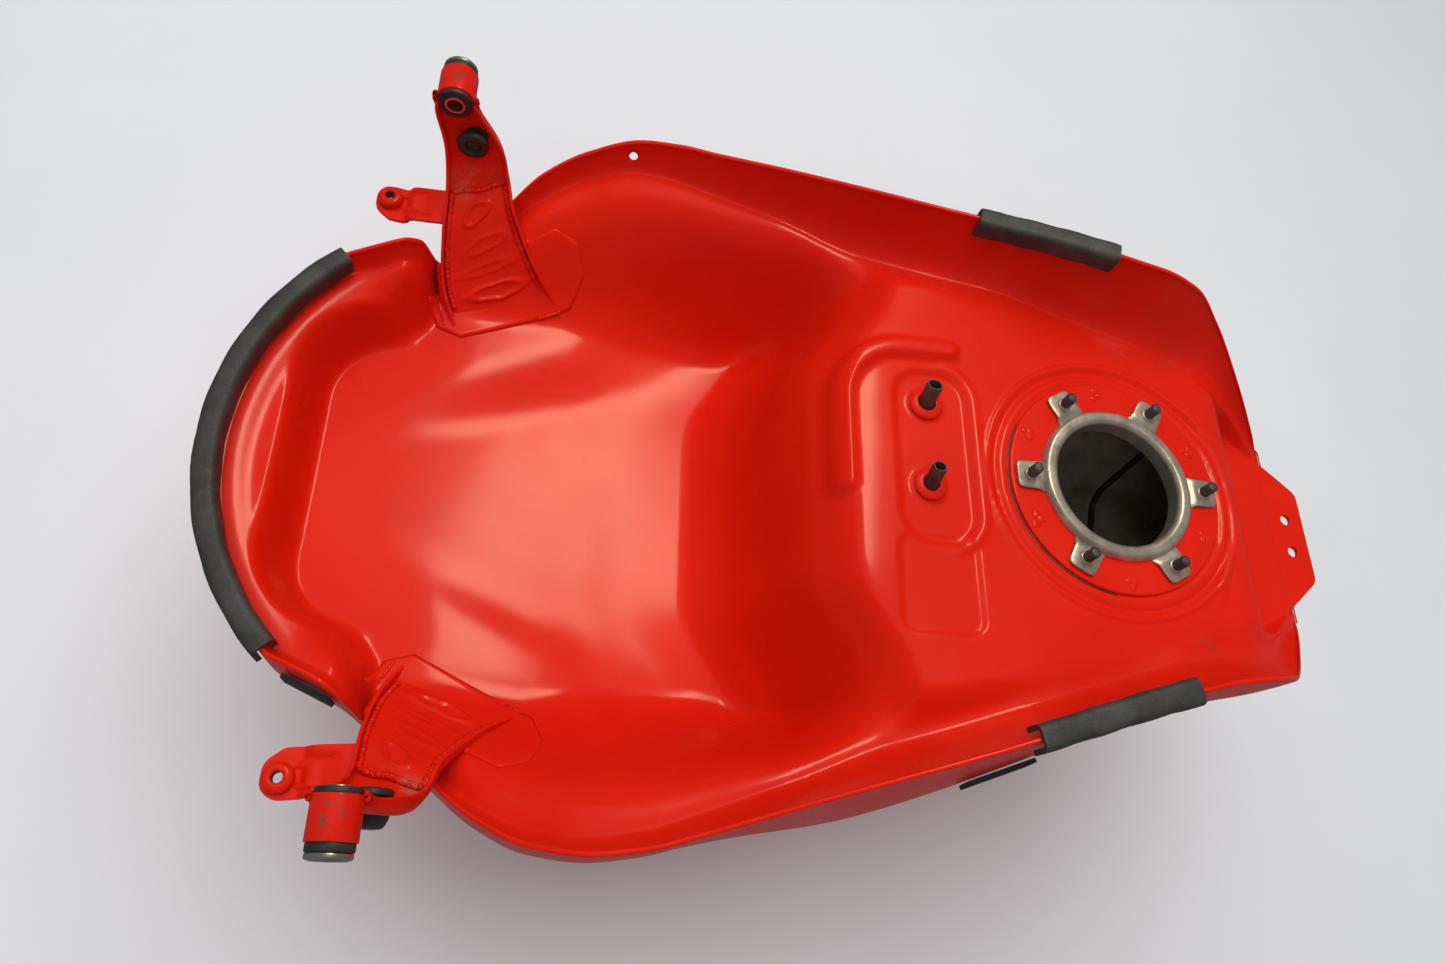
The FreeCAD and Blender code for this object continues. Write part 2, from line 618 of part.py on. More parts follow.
tube_in, tube_out = cell("tube_inner_y"), cell("tube_outer_y")
tube_r, tube_bore = cell("tube_dia") / 2, cell("tube_bore") / 2
collar_r, collar_bore = cell("collar_dia") / 2, cell("collar_bore") / 2
RUBBER_LIP, WASHER = 2.6, 4.0
for side_name, side in SIDES:
    # each turned piece has its height axis along the mount's outward direction
    turn = Rotation(Vector(1, 0, 0), -90 * side)
    place = at(MOUNT_X, 0, MOUNT_Z, turn)
    keep(turned_body("mount_tube_" + side_name,
                     [(tube_bore, tube_in), (tube_r, tube_in), (tube_r, tube_out),
                      (tube_bore, tube_out)], place))
    lip_r = tube_r - 0.7
    keep(turned_body("mount_rubber_" + side_name,
                     [(collar_r, tube_in - RUBBER_LIP), (lip_r, tube_in - RUBBER_LIP), (lip_r, tube_in),
                      (tube_bore, tube_in), (tube_bore, tube_out), (lip_r, tube_out),
                      (lip_r, tube_out + RUBBER_LIP), (collar_r, tube_out + RUBBER_LIP)], place))
    face = tube_out + RUBBER_LIP
    washer_r = cell("washer_dia") / 2
    keep(turned_body("mount_collar_" + side_name,
                     [(collar_bore, tube_in - RUBBER_LIP - 0.8), (collar_r, tube_in - RUBBER_LIP - 0.8),
                      (collar_r, face), (washer_r, face), (washer_r, face + WASHER - 1),
                      (washer_r - 1, face + WASHER), (collar_bore, face + WASHER)], place))
    keep(turned_body("cowl_grommet_" + side_name,
                     [(0, 9), (4, 9), (4.6, 0.8), (5.4, 0), (8.2, 0), (8.2, 3.2), (7.2, 3.2), (7.2, 7),
                      (7.8, 7), (7.8, 11), (6, 15), (0, 15)],
                     at(knob_at.x, side * knob_at.y, knob_at.z, turn)))
    boss_r, hole_r = cell("stay_boss") / 2, cell("stay_hole") / 2
    keep(turned_body("stay_nut_" + side_name,
                     [(hole_r, 2), (boss_r, 2), (boss_r, 5), (boss_r - 1, 6), (hole_r, 6)],
                     at(BOSS_AT.x, side * BOSS_AT.y, BOSS_AT.z)))

# ---------------------------------------------------------------- rear tab
TAB_BASE, TAB_WIDE, TAB_TIP = 124, 134.5, 157
hole_gap = cell("tab_hole_gap") / 2
keep(padded_body("rear_tab",
                 [(TAB_BASE, -38), (TAB_WIDE, -47), (TAB_TIP, -28.6), (TAB_TIP, 28.6),
                  (TAB_WIDE, 47), (TAB_BASE, 38)], 2,
                 [(cell("tab_hole_x"), hole_gap, cell("tab_hole_dia")),
                  (cell("tab_hole_x"), -hole_gap, cell("tab_hole_dia"))],
                 at(0, 0, number("tab_z") - 2)))

# ---------------------------------------------------------------- edge trims and pads
TRIM_TURN = 2 * math.degrees(math.asin(half_width(FRONT_X) / ARC_R)) - 2
trim = new_body("front_edge_trim")
trim_profile = new_sketch(trim, "XZ_Plane", "front_edge_trim_profile")
arc = cell("front_arc")
add_polygon(trim_profile, [(arc - 6.2, -53), (arc - 6.2, -43), (arc - 4.2, -41), (arc + 3.8, -41),
                           (arc + 5.8, -43), (arc + 5.8, -57), (arc + 3, -57), (arc + 3, -44.2),
                           (arc - 3.4, -44.2), (arc - 3.4, -53)])
trim_turn = trim.newObject("PartDesign::Revolution", "front_edge_trim_turn")
trim_turn.Profile = trim_profile
trim_turn.ReferenceAxis = (trim_profile, ["V_Axis"])
trim_turn.Angle = TRIM_TURN
trim_turn.Midplane = True
trim.Placement = at(ARC_X, 0, 0, Rotation(Vector(0, 0, 1), 180))
keep(trim)

REAR_TRIM_X = (-80, -61, -43, -24, -6)
TRIM_SECTION = ((-6.2, -8), (-6.2, 2.2), (-4.2, 4.2), (4.6, 4.2), (6.6, 2.2), (6.6, -8),
                (3.8, -8), (3.8, 1.8), (-3.4, 1.8), (-3.4, -8))
for side_name, side in SIDES:
    wires = [Part.makePolygon([Vector(x, side * (half_width(x) + a), edge_height(x) + b)
                               for a, b in TRIM_SECTION + TRIM_SECTION[:1]]) for x in REAR_TRIM_X]
    feature("rear_edge_trim_" + side_name, Part.makeLoft(wires, True, True))

PADS = (("front_pad", 0.184, 0.045, 26, 11), ("rear_pad", 0.63, 0.10, 34, 12))
PAD_GLUE, PAD_THICK = 1.1, 2.3
for name, along, down, length, height in PADS:
    spot = skin_point(along, down)
    ahead = (skin_point(along + 0.01, down) - skin_point(along - 0.01, down)).normalize()
    up = (skin_point(along, down - 0.02) - skin_point(along, down + 0.02)).normalize()
    outward = up.cross(ahead) * -1
    outward = outward.normalize()
    if outward.y < 0:
        outward = outward * -1
    corner = spot - ahead * (length / 2) - up * (height / 2) + outward * PAD_GLUE
    far = corner + ahead * length
    sheet = Part.Face(Part.makePolygon([corner, far, far + up * height, corner + up * height, corner]))
    pad_solid = sheet.extrude(outward * PAD_THICK)
    for side_name, side in SIDES:
        feature(f"{name}_{side_name}", mirrored(pad_solid, side))

# ---------------------------------------------------------------- filler neck and cap
CAP_X, FACE_Z = number("cap_x"), number("cap_face_z")
TOP_Z = FACE_Z + number("cap_ring_depth")
cap_place = at(CAP_X, 0, 0)
ring_r, lid_r = cell("cap_ring_dia") / 2, cell("lid_dia") / 2
neck_r, plug_r = cell("neck_bore") / 2, cell("plug_dia") / 2
low, depth = cell("cap_face_z"), cell("cap_ring_depth")
keep(turned_body("filler_neck",
                 [(neck_r - 4, low + depth + 4), (neck_r + 1.6, low + depth + 4), (neck_r + 1.6, low + 66),
                  (neck_r, low + 66), (neck_r, low + depth + 5.2), (neck_r - 4, low + depth + 5.2)], cap_place))

hinge_x = -cell("hinge_reach")
cap_ring = turned_body("cap_ring_blank",
                       [(lid_r + 0.5, low + 0.8), (lid_r + 1.3, low), (ring_r - 3, low), (ring_r, low + 3),
                        (ring_r, low + depth - 0.2), (lid_r + 0.5, low + depth - 0.2)], cap_place)
HINGE_Z = FACE_Z + 3.2
slot = primitive("Box", "hinge_slot", at(CAP_X - number("hinge_reach") - 5.5, -8, FACE_Z - 1),
                 Length=18, Width=16, Height=12)
cap_ring_cut = boolean("Cut", "cap_ring_slotted", cap_ring, slot)
SCREW_R, SCREW_ANGLES = 43, (30, 60, 90, 120, 240, 270, 300, 330)
for i, angle in enumerate(SCREW_ANGLES):
    a = math.radians(angle)
    hole = primitive("Cylinder", f"screw_room_{i}",
                     at(CAP_X + SCREW_R * math.cos(a), SCREW_R * math.sin(a), FACE_Z - 1), Radius=3.6, Height=4.2)
    cap_ring_cut = boolean("Cut", f"cap_ring_drilled_{i}", cap_ring_cut, hole)
pin_hole = primitive("Cylinder", "pin_room",
                     at(CAP_X - number("hinge_reach"), 12, HINGE_Z, Rotation(Vector(1, 0, 0), 90)),
                     Radius=cell("hinge_pin_dia") / 2, Height=24)
cap_ring_cut = boolean("Cut", "cap_ring_cut", cap_ring_cut, pin_hole)
cap_ring_cut.Label = "cap_ring"
keep(cap_ring_cut)

screws = []
for i, angle in enumerate(SCREW_ANGLES):
    a = math.radians(angle)
    screws.append(primitive("Cylinder", f"cap_screw_{i}",
                            at(CAP_X + SCREW_R * math.cos(a), SCREW_R * math.sin(a), FACE_Z + 0.6),
                            Radius=3.4, Height=2.6))
screw_group = doc.addObject("Part::Compound", "cap_screws_group")
screw_group.Links = screws
screw_group.Label = "cap_screws"
keep(screw_group)

pin = primitive("Cylinder", "hinge_pin_bar",
                at(CAP_X - number("hinge_reach"), 12, HINGE_Z, Rotation(Vector(1, 0, 0), 90)),
                Radius=cell("hinge_pin_dia") / 2, Height=24)
pin.Label = "hinge_pin"
keep(pin)

LID_FACE_Z, LID_BACK_Z = FACE_Z + 2.5, TOP_Z - 0.4
lid = new_body("lid_blank")
lid_outline = new_sketch(lid, "XY_Plane", "lid_outline")
add_circle(lid_outline, 0, 0, cell("lid_dia"))
add_circle(lid_outline, 0, 0, cell("lock_dia") + 0.16)
lid_pad = lid.newObject("PartDesign::Pad", "lid_pad")
lid_pad.Profile = lid_outline
lid_pad.Length = LID_BACK_Z - LID_FACE_Z
lid.Placement = at(CAP_X, 0, LID_FACE_Z)
tongue = primitive("Box", "lid_tongue", at(CAP_X - number("hinge_reach"), -7, LID_FACE_Z),
                   Length=12, Width=14, Height=LID_BACK_Z - LID_FACE_Z)
knuckle = primitive("Cylinder", "lid_knuckle",
                    at(CAP_X - number("hinge_reach"), 7, HINGE_Z, Rotation(Vector(1, 0, 0), 90)),
                    Radius=2.3, Height=14)
pin_bore = primitive("Cylinder", "lid_pin_bore",
                     at(CAP_X - number("hinge_reach"), 9, HINGE_Z, Rotation(Vector(1, 0, 0), 90)),
                     Radius=cell("hinge_pin_dia") / 2 + 0.06, Height=18)
lid_arm = boolean("Fuse", "lid_arm", tongue, knuckle)
lid_whole = boolean("Fuse", "lid_whole", lid, lid_arm)
lid_done = boolean("Cut", "lid_drilled", lid_whole, pin_bore)
lid_done.Label = "cap_lid"
keep(lid_done)

PLUG_TOP = FACE_Z + 16
plug = primitive("Cylinder", "plug_blank", at(CAP_X, 0, LID_BACK_Z), Radius=plug_r, Height=PLUG_TOP - LID_BACK_Z)
lock_room = primitive("Cylinder", "lock_room", at(CAP_X, 0, LID_BACK_Z - 1),
                      Radius=cell("lock_dia") / 2 + 0.08, Height=6.4)
LATCH_LOW, LATCH_HIGH = FACE_Z + 11.6, FACE_Z + 14.4
latch_room = primitive("Box", "latch_room", at(CAP_X - 9, -6.6, LATCH_LOW - 0.2),
                       Length=34, Width=13.2, Height=LATCH_HIGH - LATCH_LOW + 0.4)
cam_room = primitive("Cylinder", "cam_room", at(CAP_X, 0, LID_BACK_Z + 3), Radius=6.4, Height=4)
plug_cut = boolean("Cut", "plug_bored", plug, lock_room)
plug_cut = boolean("Cut", "plug_cammed", plug_cut, cam_room)
plug_cut = boolean("Cut", "plug_slotted", plug_cut, latch_room)
plug_cut.Label = "cap_plug"
keep(plug_cut)
keep(turned_body("cap_seal", [(plug_r + 0.1, low + depth - 0.3), (neck_r, low + depth - 0.3),
                              (neck_r - 0.5, low + depth + 3.6), (plug_r + 0.1, low + depth + 3.6)], cap_place))

LOCK_FACE = LID_FACE_Z + 0.3
lock_barrel = primitive("Cylinder", "lock_barrel", at(CAP_X, 0, LOCK_FACE), Radius=cell("lock_dia") / 2,
                        Height=LID_BACK_Z + 5.2 - LOCK_FACE)
CAM_R = 4
cam_pin = primitive("Cylinder", "cam_pin", at(CAP_X, -CAM_R, LID_BACK_Z + 4), Radius=1.6,
                    Height=LATCH_HIGH - LID_BACK_Z - 4.4)
key_slot = primitive("Box", "key_slot", at(CAP_X - 4.2, -0.9, LOCK_FACE - 1), Length=8.4, Width=1.8, Height=6)
lock_whole = boolean("Fuse", "lock_whole", lock_barrel, cam_pin)
lock_done = boolean("Cut", "lock_slotted", lock_whole, key_slot)
lock_done.Label = "lock_cylinder"
keep(lock_done)

latch_bar = primitive("Box", "latch_bar", at(CAP_X - 7, -6, LATCH_LOW), Length=30.4, Width=12,
                      Height=LATCH_HIGH - LATCH_LOW)
latch_slot = primitive("Box", "latch_slot", at(CAP_X - 3.2, -6.2, LATCH_LOW - 1), Length=6.4, Width=8.6, Height=6)
latch = boolean("Cut", "latch_slotted", latch_bar, latch_slot)
latch.Label = "latch"
keep(latch)

COVER_PIN_Y = 14
cover_disc = primitive("Cylinder", "cover_disc", at(CAP_X, 0, LID_FACE_Z - 1.6), Radius=10.5, Height=1.5)
cover_lobe = primitive("Cylinder", "cover_lobe", at(CAP_X, COVER_PIN_Y, LID_FACE_Z - 1.6), Radius=4.5, Height=1.5)
cover_bore = primitive("Cylinder", "cover_bore", at(CAP_X, COVER_PIN_Y, LID_FACE_Z - 3), Radius=1.56, Height=6)
cover = boolean("Cut", "cover_drilled", boolean("Fuse", "cover_whole", cover_disc, cover_lobe), cover_bore)
cover.Label = "keyhole_cover"
keep(cover)
rivet = primitive("Cylinder", "cover_rivet_bar", at(CAP_X, COVER_PIN_Y, LID_FACE_Z - 2.0), Radius=1.5, Height=2.0)
rivet.Label = "cover_rivet"
keep(rivet)

# ---------------------------------------------------------------- check and write
doc.recompute()
for item in doc.Objects:
    if "Invalid" in item.State or "Error" in item.State:
        raise RuntimeError(f"{item.Name} failed: {item.State}")
for node in NODES:
    if node.Shape.isNull() or not node.Shape.isValid() or not node.Shape.Solids:
        raise RuntimeError(f"{node.Label} has no valid solid")

os.makedirs("parts", exist_ok=True)
for node in NODES:
    node.Shape.exportStep(f"parts/{node.Label}.step")
    print(f"{node.Label:24s} {node.Shape.Volume / 1000:9.2f} cm3  solids {len(node.Shape.Solids)}")
print(len(NODES), "nodes")
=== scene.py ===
import json
import math

import bmesh
import bpy
import numpy as np
from mathutils import Matrix, Vector


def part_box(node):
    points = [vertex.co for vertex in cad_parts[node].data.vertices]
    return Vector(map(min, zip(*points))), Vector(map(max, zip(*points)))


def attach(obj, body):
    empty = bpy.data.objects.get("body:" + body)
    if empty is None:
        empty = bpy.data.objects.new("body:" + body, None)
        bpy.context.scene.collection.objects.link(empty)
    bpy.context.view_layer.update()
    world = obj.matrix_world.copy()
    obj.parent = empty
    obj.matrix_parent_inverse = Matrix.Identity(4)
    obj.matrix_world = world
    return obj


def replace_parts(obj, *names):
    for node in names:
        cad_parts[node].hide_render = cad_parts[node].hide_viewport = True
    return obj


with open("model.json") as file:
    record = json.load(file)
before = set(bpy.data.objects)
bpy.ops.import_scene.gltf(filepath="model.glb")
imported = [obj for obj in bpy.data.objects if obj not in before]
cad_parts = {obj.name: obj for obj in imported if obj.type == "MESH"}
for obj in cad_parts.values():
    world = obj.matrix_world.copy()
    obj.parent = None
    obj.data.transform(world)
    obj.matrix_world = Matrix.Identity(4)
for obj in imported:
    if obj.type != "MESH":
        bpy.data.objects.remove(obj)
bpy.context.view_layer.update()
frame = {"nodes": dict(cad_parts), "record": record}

NODES = frame["nodes"]
MM = 0.001
RNG = np.random.default_rng(7)
SIDES = (("left", 1), ("right", -1))
UP = (0, 0, 1)


# ================================================================ camera, floor and light
def make_camera():
    """A 24 mm camera above the near front corner, looking down along its own three axes."""
    data = bpy.data.cameras.new("camera")
    data.lens, data.sensor_width = 24, 36
    data.clip_start, data.clip_end = 0.01, 50
    camera = bpy.data.objects.new("camera", data)
    bpy.context.scene.collection.objects.link(camera)
    back = Vector((-0.1929, -0.4066, 0.8930)).normalized()
    right = Vector((0.9760, 0.0145, 0.2174))
    right = (right - back * right.dot(back)).normalized()
    turn = Matrix((right, back.cross(right), back)).transposed().to_4x4()
    camera.matrix_world = Matrix.Translation((-0.3109, -0.2151, 0.4211)) @ turn
    bpy.context.scene.camera = camera


def area_light(name, place, aim, size, power, tint=(1, 1, 1)):
    """A rectangular light at place, turned to face aim; metres and watts."""
    data = bpy.data.lights.new(name, "AREA")
    data.shape = "RECTANGLE"
    data.size, data.size_y = size
    data.energy = power
    data.color = tint
    light = bpy.data.objects.new(name, data)
    bpy.context.scene.collection.objects.link(light)
    light.location = place
    light.rotation_mode = "QUATERNION"
    light.rotation_quaternion = (Vector(aim) - Vector(place)).to_track_quat("-Z", "Y")
    return light


def make_studio():
    """One softbox that only shows as a reflection, and two wide fills that never do."""
    scene = bpy.context.scene
    scene.view_settings.view_transform = "Standard"
    world = bpy.data.worlds.new("studio")
    scene.world = world
    world.use_nodes = True
    background = world.node_tree.nodes["Background"]
    background.inputs["Color"].default_value = (0.97, 0.98, 1.0, 1)
    background.inputs["Strength"].default_value = 0.15
    softbox = area_light("softbox", (-0.045, 0.60, 1.16), (-0.20, 0.0, -0.12), (0.20, 0.60), 7.2,
                         tint=(1.0, 0.92, 0.62))
    softbox.visible_diffuse = False
    for name, place, size, power in (("ceiling_fill", (-0.25, 0.75, 2.0), (2.6, 2.2), 52),
                                     ("near_fill", (-0.4, -1.3, 1.5), (1.6, 1.0), 8)):
        fill = area_light(name, place, (-0.2, 0.0, -0.1), size, power)
        fill.visible_glossy = False


# ================================================================ materials
def new_material(name):
    material = bpy.data.materials.new(name)
    material.use_nodes = True
    tree = material.node_tree
    return material, tree, tree.nodes["Principled BSDF"]


def noise(tree, scale, detail=4.0, rough=0.5):
    """The value of a noise in the object's own space."""
    coords = tree.nodes.new("ShaderNodeTexCoord")
    node = tree.nodes.new("ShaderNodeTexNoise")
    node.inputs["Scale"].default_value = scale
    node.inputs["Detail"].default_value = detail
    node.inputs["Roughness"].default_value = rough
    tree.links.new(coords.outputs["Object"], node.inputs["Vector"])
    return node.outputs["Fac"]


def ramp(tree, source, stops):
    """A colour ramp over (position, grey value or colour) stops."""
    node = tree.nodes.new("ShaderNodeValToRGB")
    elements = node.color_ramp.elements
    while len(elements) < len(stops):
        elements.new(0.5)
    for element, (place, value) in zip(elements, stops):
        element.position = place
        element.color = (*value, 1) if isinstance(value, tuple) else (value, value, value, 1)
    tree.links.new(source, node.inputs["Fac"])
    return node.outputs["Color"]


def mix_colour(tree, fac, first, second, mode="MIX"):
    """Mix two colours; each argument is a constant or another node's output."""
    node = tree.nodes.new("ShaderNodeMix")
    node.data_type = "RGBA"
    node.blend_type = mode
    for name, value in (("Factor", fac), ("A", first), ("B", second)):
        socket = node.inputs[name]
        if isinstance(value, tuple):
            socket.default_value = (*value, 1)
        elif isinstance(value, (int, float)):
            socket.default_value = value
        else:
            tree.links.new(value, socket)
    return node.outputs["Result"]


def bumps(tree, shader, layers):
    """Stack bump layers, each (height output, strength, distance in metres)."""
    normal = None
    for height, strength, distance in layers:
        node = tree.nodes.new("ShaderNodeBump")
        node.inputs["Strength"].default_value = strength
        node.inputs["Distance"].default_value = distance
        tree.links.new(height, node.inputs["Height"])
        if normal:
            tree.links.new(normal, node.inputs["Normal"])
        normal = node.outputs["Normal"]
    tree.links.new(normal, shader.inputs["Normal"])
    return normal


# worn places of the paint, and painted highlights on the brackets' bends above the doublers: place in metres,
# how far each reaches, how coarse it is, and what shows
# BARE is bare metal showing through the scuffs; BEND_HIGHLIGHT is a painted highlight, a lighter pink for the
# bend of each bracket's web above its doubler
BARE, BEND_HIGHLIGHT = (0.10, 0.055, 0.035), (0.62, 0.11, 0.07)
SCUFFS_AND_HIGHLIGHTS = [((0.050, 0.087, 0.003), 0.011, 190, BARE), ((0.037, -0.087, -0.010), 0.010, 190, BARE),
          ((-0.372, -0.181, 0.022), 0.0055, 190, BARE), ((-0.371, -0.186, 0.022), 0.006, 190, BARE),
          ((-0.372, -0.191, 0.022), 0.0055, 190, BARE), ((-0.371, 0.186, 0.022), 0.008, 190, BARE),
          # these four entries paint the highlight on the bends of the two brackets' webs
          ((-0.366, 0.167, -0.038), 0.013, 25, BEND_HIGHLIGHT), ((-0.353, 0.170, -0.036), 0.012, 25, BEND_HIGHLIGHT),
          ((-0.366, -0.167, -0.038), 0.013, 25, BEND_HIGHLIGHT), ((-0.353, -0.170, -0.036), 0.012, 25, BEND_HIGHLIGHT)]


def spot(tree, place, reach, grain):
    """A mask around one place, broken up by noise."""
    coords = tree.nodes.new("ShaderNodeTexCoord")
    away = tree.nodes.new("ShaderNodeVectorMath")
    away.operation = "DISTANCE"
    away.inputs[1].default_value = place
    tree.links.new(coords.outputs["Object"], away.inputs[0])
    ring = ramp(tree, away.outputs["Value"], [(reach * 0.3, 1.0), (reach, 0.0)])
    speck = ramp(tree, noise(tree, grain, 5.0, 0.7), [(0.48, 0.0), (0.60, 0.85)])
    return mix_colour(tree, 1.0, ring, speck, "MULTIPLY")


def red_paint():
    """Glossy red over cloudy red, with dust specks, scuffs, painted highlights on the brackets' bends and a
    little orange peel.
    """
    material, tree, shader = new_material("red_paint")
    cloud = noise(tree, 9.0, 6.0, 0.6)
    base = ramp(tree, cloud, [(0.3, (0.66, 0.010, 0.0035)), (0.7, (0.74, 0.017, 0.0045))])
    dust = noise(tree, 160.0, 3.0, 0.7)
    dusty = ramp(tree, dust, [(0.72, 0.0), (0.86, 0.25)])
    colour = mix_colour(tree, dusty, base, (0.30, 0.045, 0.02))
    # the scuffs mix in bare metal; the bracket entries mix in a painted highlight
    for place, reach, grain, shows in SCUFFS_AND_HIGHLIGHTS:
        wear_and_highlight = spot(tree, place, reach, grain)
        colour = mix_colour(tree, wear_and_highlight, colour, shows)
    tree.links.new(colour, shader.inputs["Base Color"])
    haze = noise(tree, 26.0, 5.0, 0.65)
    tree.links.new(ramp(tree, haze, [(0.35, 0.26), (0.75, 0.42)]), shader.inputs["Roughness"])
    shader.inputs["Specular IOR Level"].default_value = 0.05
    shader.inputs["Coat Weight"].default_value = 0.25
    shader.inputs["Coat Roughness"].default_value = 0.15
    peel = noise(tree, 620.0, 2.0)
    wave = noise(tree, 24.0, 2.0)
    normal = bumps(tree, shader, [(wave, 0.10, 0.0012), (peel, 0.06, 0.00025)])
    tree.links.new(normal, shader.inputs["Coat Normal"])
    return material


def metal(name, colour, dark, rough, grain=300.0, depth=0.0002, shine=1.0):
    """Stained metal: dark where it is stained, rougher where it is worn."""
    material, tree, shader = new_material(name)
    shader.inputs["Metallic"].default_value = shine
    stain = noise(tree, 70.0, 7.0, 0.7)
    tree.links.new(ramp(tree, stain, [(0.35, dark), (0.65, colour)]), shader.inputs["Base Color"])
    wear = noise(tree, grain, 4.0, 0.6)
    tree.links.new(ramp(tree, wear, [(0.3, rough), (0.75, rough + 0.22)]), shader.inputs["Roughness"])
    bumps(tree, shader, [(wear, 0.35, depth)])
    return material


def rubber(name, colour, rough=0.6, grain=900.0, depth=0.0003):
    """Dusty black rubber with a fine skin."""
    material, tree, shader = new_material(name)
    cloud = noise(tree, 45.0, 6.0, 0.7)
    pale = tuple(min(1, c * 1.9 + 0.012) for c in colour)
    tree.links.new(ramp(tree, cloud, [(0.4, colour), (0.8, pale)]), shader.inputs["Base Color"])
    skin = noise(tree, grain, 3.0, 0.6)
    tree.links.new(ramp(tree, skin, [(0.3, rough - 0.1), (0.7, rough + 0.15)]), shader.inputs["Roughness"])
    bumps(tree, shader, [(skin, 0.5, depth)])
    return material


def floor_material():
    material, tree, shader = new_material("pale_table")
    cloud = noise(tree, 3.0, 6.0, 0.6)
    tree.links.new(ramp(tree, cloud, [(0.3, (0.80, 0.815, 0.835)), (0.8, (0.85, 0.865, 0.885))]),
                   shader.inputs["Base Color"])
    shader.inputs["Roughness"].default_value = 0.55
    bumps(tree, shader, [(noise(tree, 80.0, 5.0, 0.7), 0.08, 0.001)])
    return material


MATERIALS = {
    "red_paint": red_paint(),
    "bare_steel": metal("bare_steel", (0.62, 0.56, 0.47), (0.38, 0.33, 0.27), 0.30, shine=0.75),
    "dark_steel": metal("dark_steel", (0.15, 0.135, 0.12), (0.06, 0.052, 0.046), 0.40, shine=0.6),
    "inner_steel": metal("inner_steel", (0.50, 0.42, 0.32), (0.30, 0.25, 0.19), 0.42, 120.0, shine=0.35),
    "zinc_steel": metal("zinc_steel", (0.70, 0.68, 0.62), (0.48, 0.45, 0.38), 0.26),
    "cap_metal": metal("cap_metal", (0.62, 0.62, 0.63), (0.45, 0.45, 0.46), 0.32),
    "bright_steel": metal("bright_steel", (0.66, 0.66, 0.67), (0.40, 0.40, 0.41), 0.22),
    "trim_rubber": rubber("trim_rubber", (0.030, 0.029, 0.027), 0.58),
    "black_rubber": rubber("black_rubber", (0.016, 0.016, 0.017), 0.42),
    "pad_foam": rubber("pad_foam", (0.022, 0.022, 0.024), 0.8, 500.0, 0.0012),
}


# ================================================================ mesh helpers (millimetres in)
def through(points):
    """A smooth function through (input, output) pairs that never overshoots them, for arrays."""
    xs = np.array([p[0] for p in points], float)
    ys = np.array([p[1] for p in points], float)
    step = np.diff(ys) / np.diff(xs)
    slope = np.concatenate(([step[0]], np.zeros(len(xs) - 2), [step[-1]]))
    for i in range(1, len(xs) - 1):
        if step[i - 1] * step[i] > 0:
            slope[i] = 2 * step[i - 1] * step[i] / (step[i - 1] + step[i])

    def value(x):
        x = np.clip(np.asarray(x, float), xs[0], xs[-1])
        i = np.clip(np.searchsorted(xs, x, side="right") - 1, 0, len(xs) - 2)
        width = xs[i + 1] - xs[i]
        u = (x - xs[i]) / width
        return ((1 + 2 * u) * (1 - u) ** 2 * ys[i] + u * (1 - u) ** 2 * width * slope[i]
                + u * u * (3 - 2 * u) * ys[i + 1] + u * u * (u - 1) * width * slope[i + 1])

    return value


def ease(low, high, x):
    """From 0 to 1 between low and high, with no break in slope or curvature at either end."""
    u = np.clip((x - low) / (high - low), 0, 1)
    return u ** 3 * (10 - 15 * u + 6 * u * u)


def unit(vectors):
    return vectors / np.linalg.norm(vectors, axis=-1, keepdims=True)


def face_outwards(mesh, upward=False):
    """Make the faces agree with each other, and point outwards (or up, for an open sheet)."""
    sheet = bmesh.new()
    sheet.from_mesh(mesh)
    bmesh.ops.recalc_face_normals(sheet, faces=sheet.faces)
    sheet.faces.ensure_lookup_table()
    if upward and sheet.faces[0].normal.z < 0:
        bmesh.ops.reverse_faces(sheet, faces=sheet.faces)
    sheet.to_mesh(mesh)
    sheet.free()


def piece(name, points, faces, material, side=1, body="tank", slot=None, closed=True):
    """A mesh object from points in millimetres, riding on a CAD body; side -1 mirrors it."""
    points = np.asarray(points, float) * (1, side, 1) * MM
    faces = [list(f) if side > 0 else list(f)[::-1] for f in faces]
    mesh = bpy.data.meshes.new(name)
    mesh.from_pydata(points.tolist(), [], faces)
    mesh.validate()
    if closed:
        face_outwards(mesh)
    mesh.shade_smooth()
    mesh.materials.append(MATERIALS[material])
    item = bpy.data.objects.new(name, mesh)
    bpy.context.scene.collection.objects.link(item)
    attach(item, body)
    return item


def sharpen(item, degrees=40):
    """Keep the edges sharper than an angle crisp."""
    item.data.set_sharp_from_angle(angle=math.radians(degrees))
    return item


def soften(item, width=0.4, segments=3):
    """Round the sharp edges by a small bevel, in millimetres."""
    bevel = item.modifiers.new("edges", "BEVEL")
    bevel.width = width * MM
    bevel.segments = segments
    bevel.limit_method = "ANGLE"
    bevel.angle_limit = math.radians(40)


def thicken(item, gauge, offset=-1, inner=None):
    """Give an open sheet its gauge in millimetres, with another finish inside if one is named."""
    thick = item.modifiers.new("thickness", "SOLIDIFY")
    thick.thickness = gauge * MM
    thick.offset = offset
    if inner:
        item.data.materials.append(MATERIALS[inner])
        thick.material_offset = 1


def grid_faces(rows, columns, wrap=False):
    """The quads of a grid of points in row order; wrap joins the last column to the first."""
    index = np.arange(rows * columns).reshape(rows, columns)
    if wrap:
        index = np.concatenate((index, index[:, :1]), axis=1)
    quads = np.stack((index[:-1, :-1], index[1:, :-1], index[1:, 1:], index[:-1, 1:]), axis=-1)
    return quads.reshape(-1, 4)


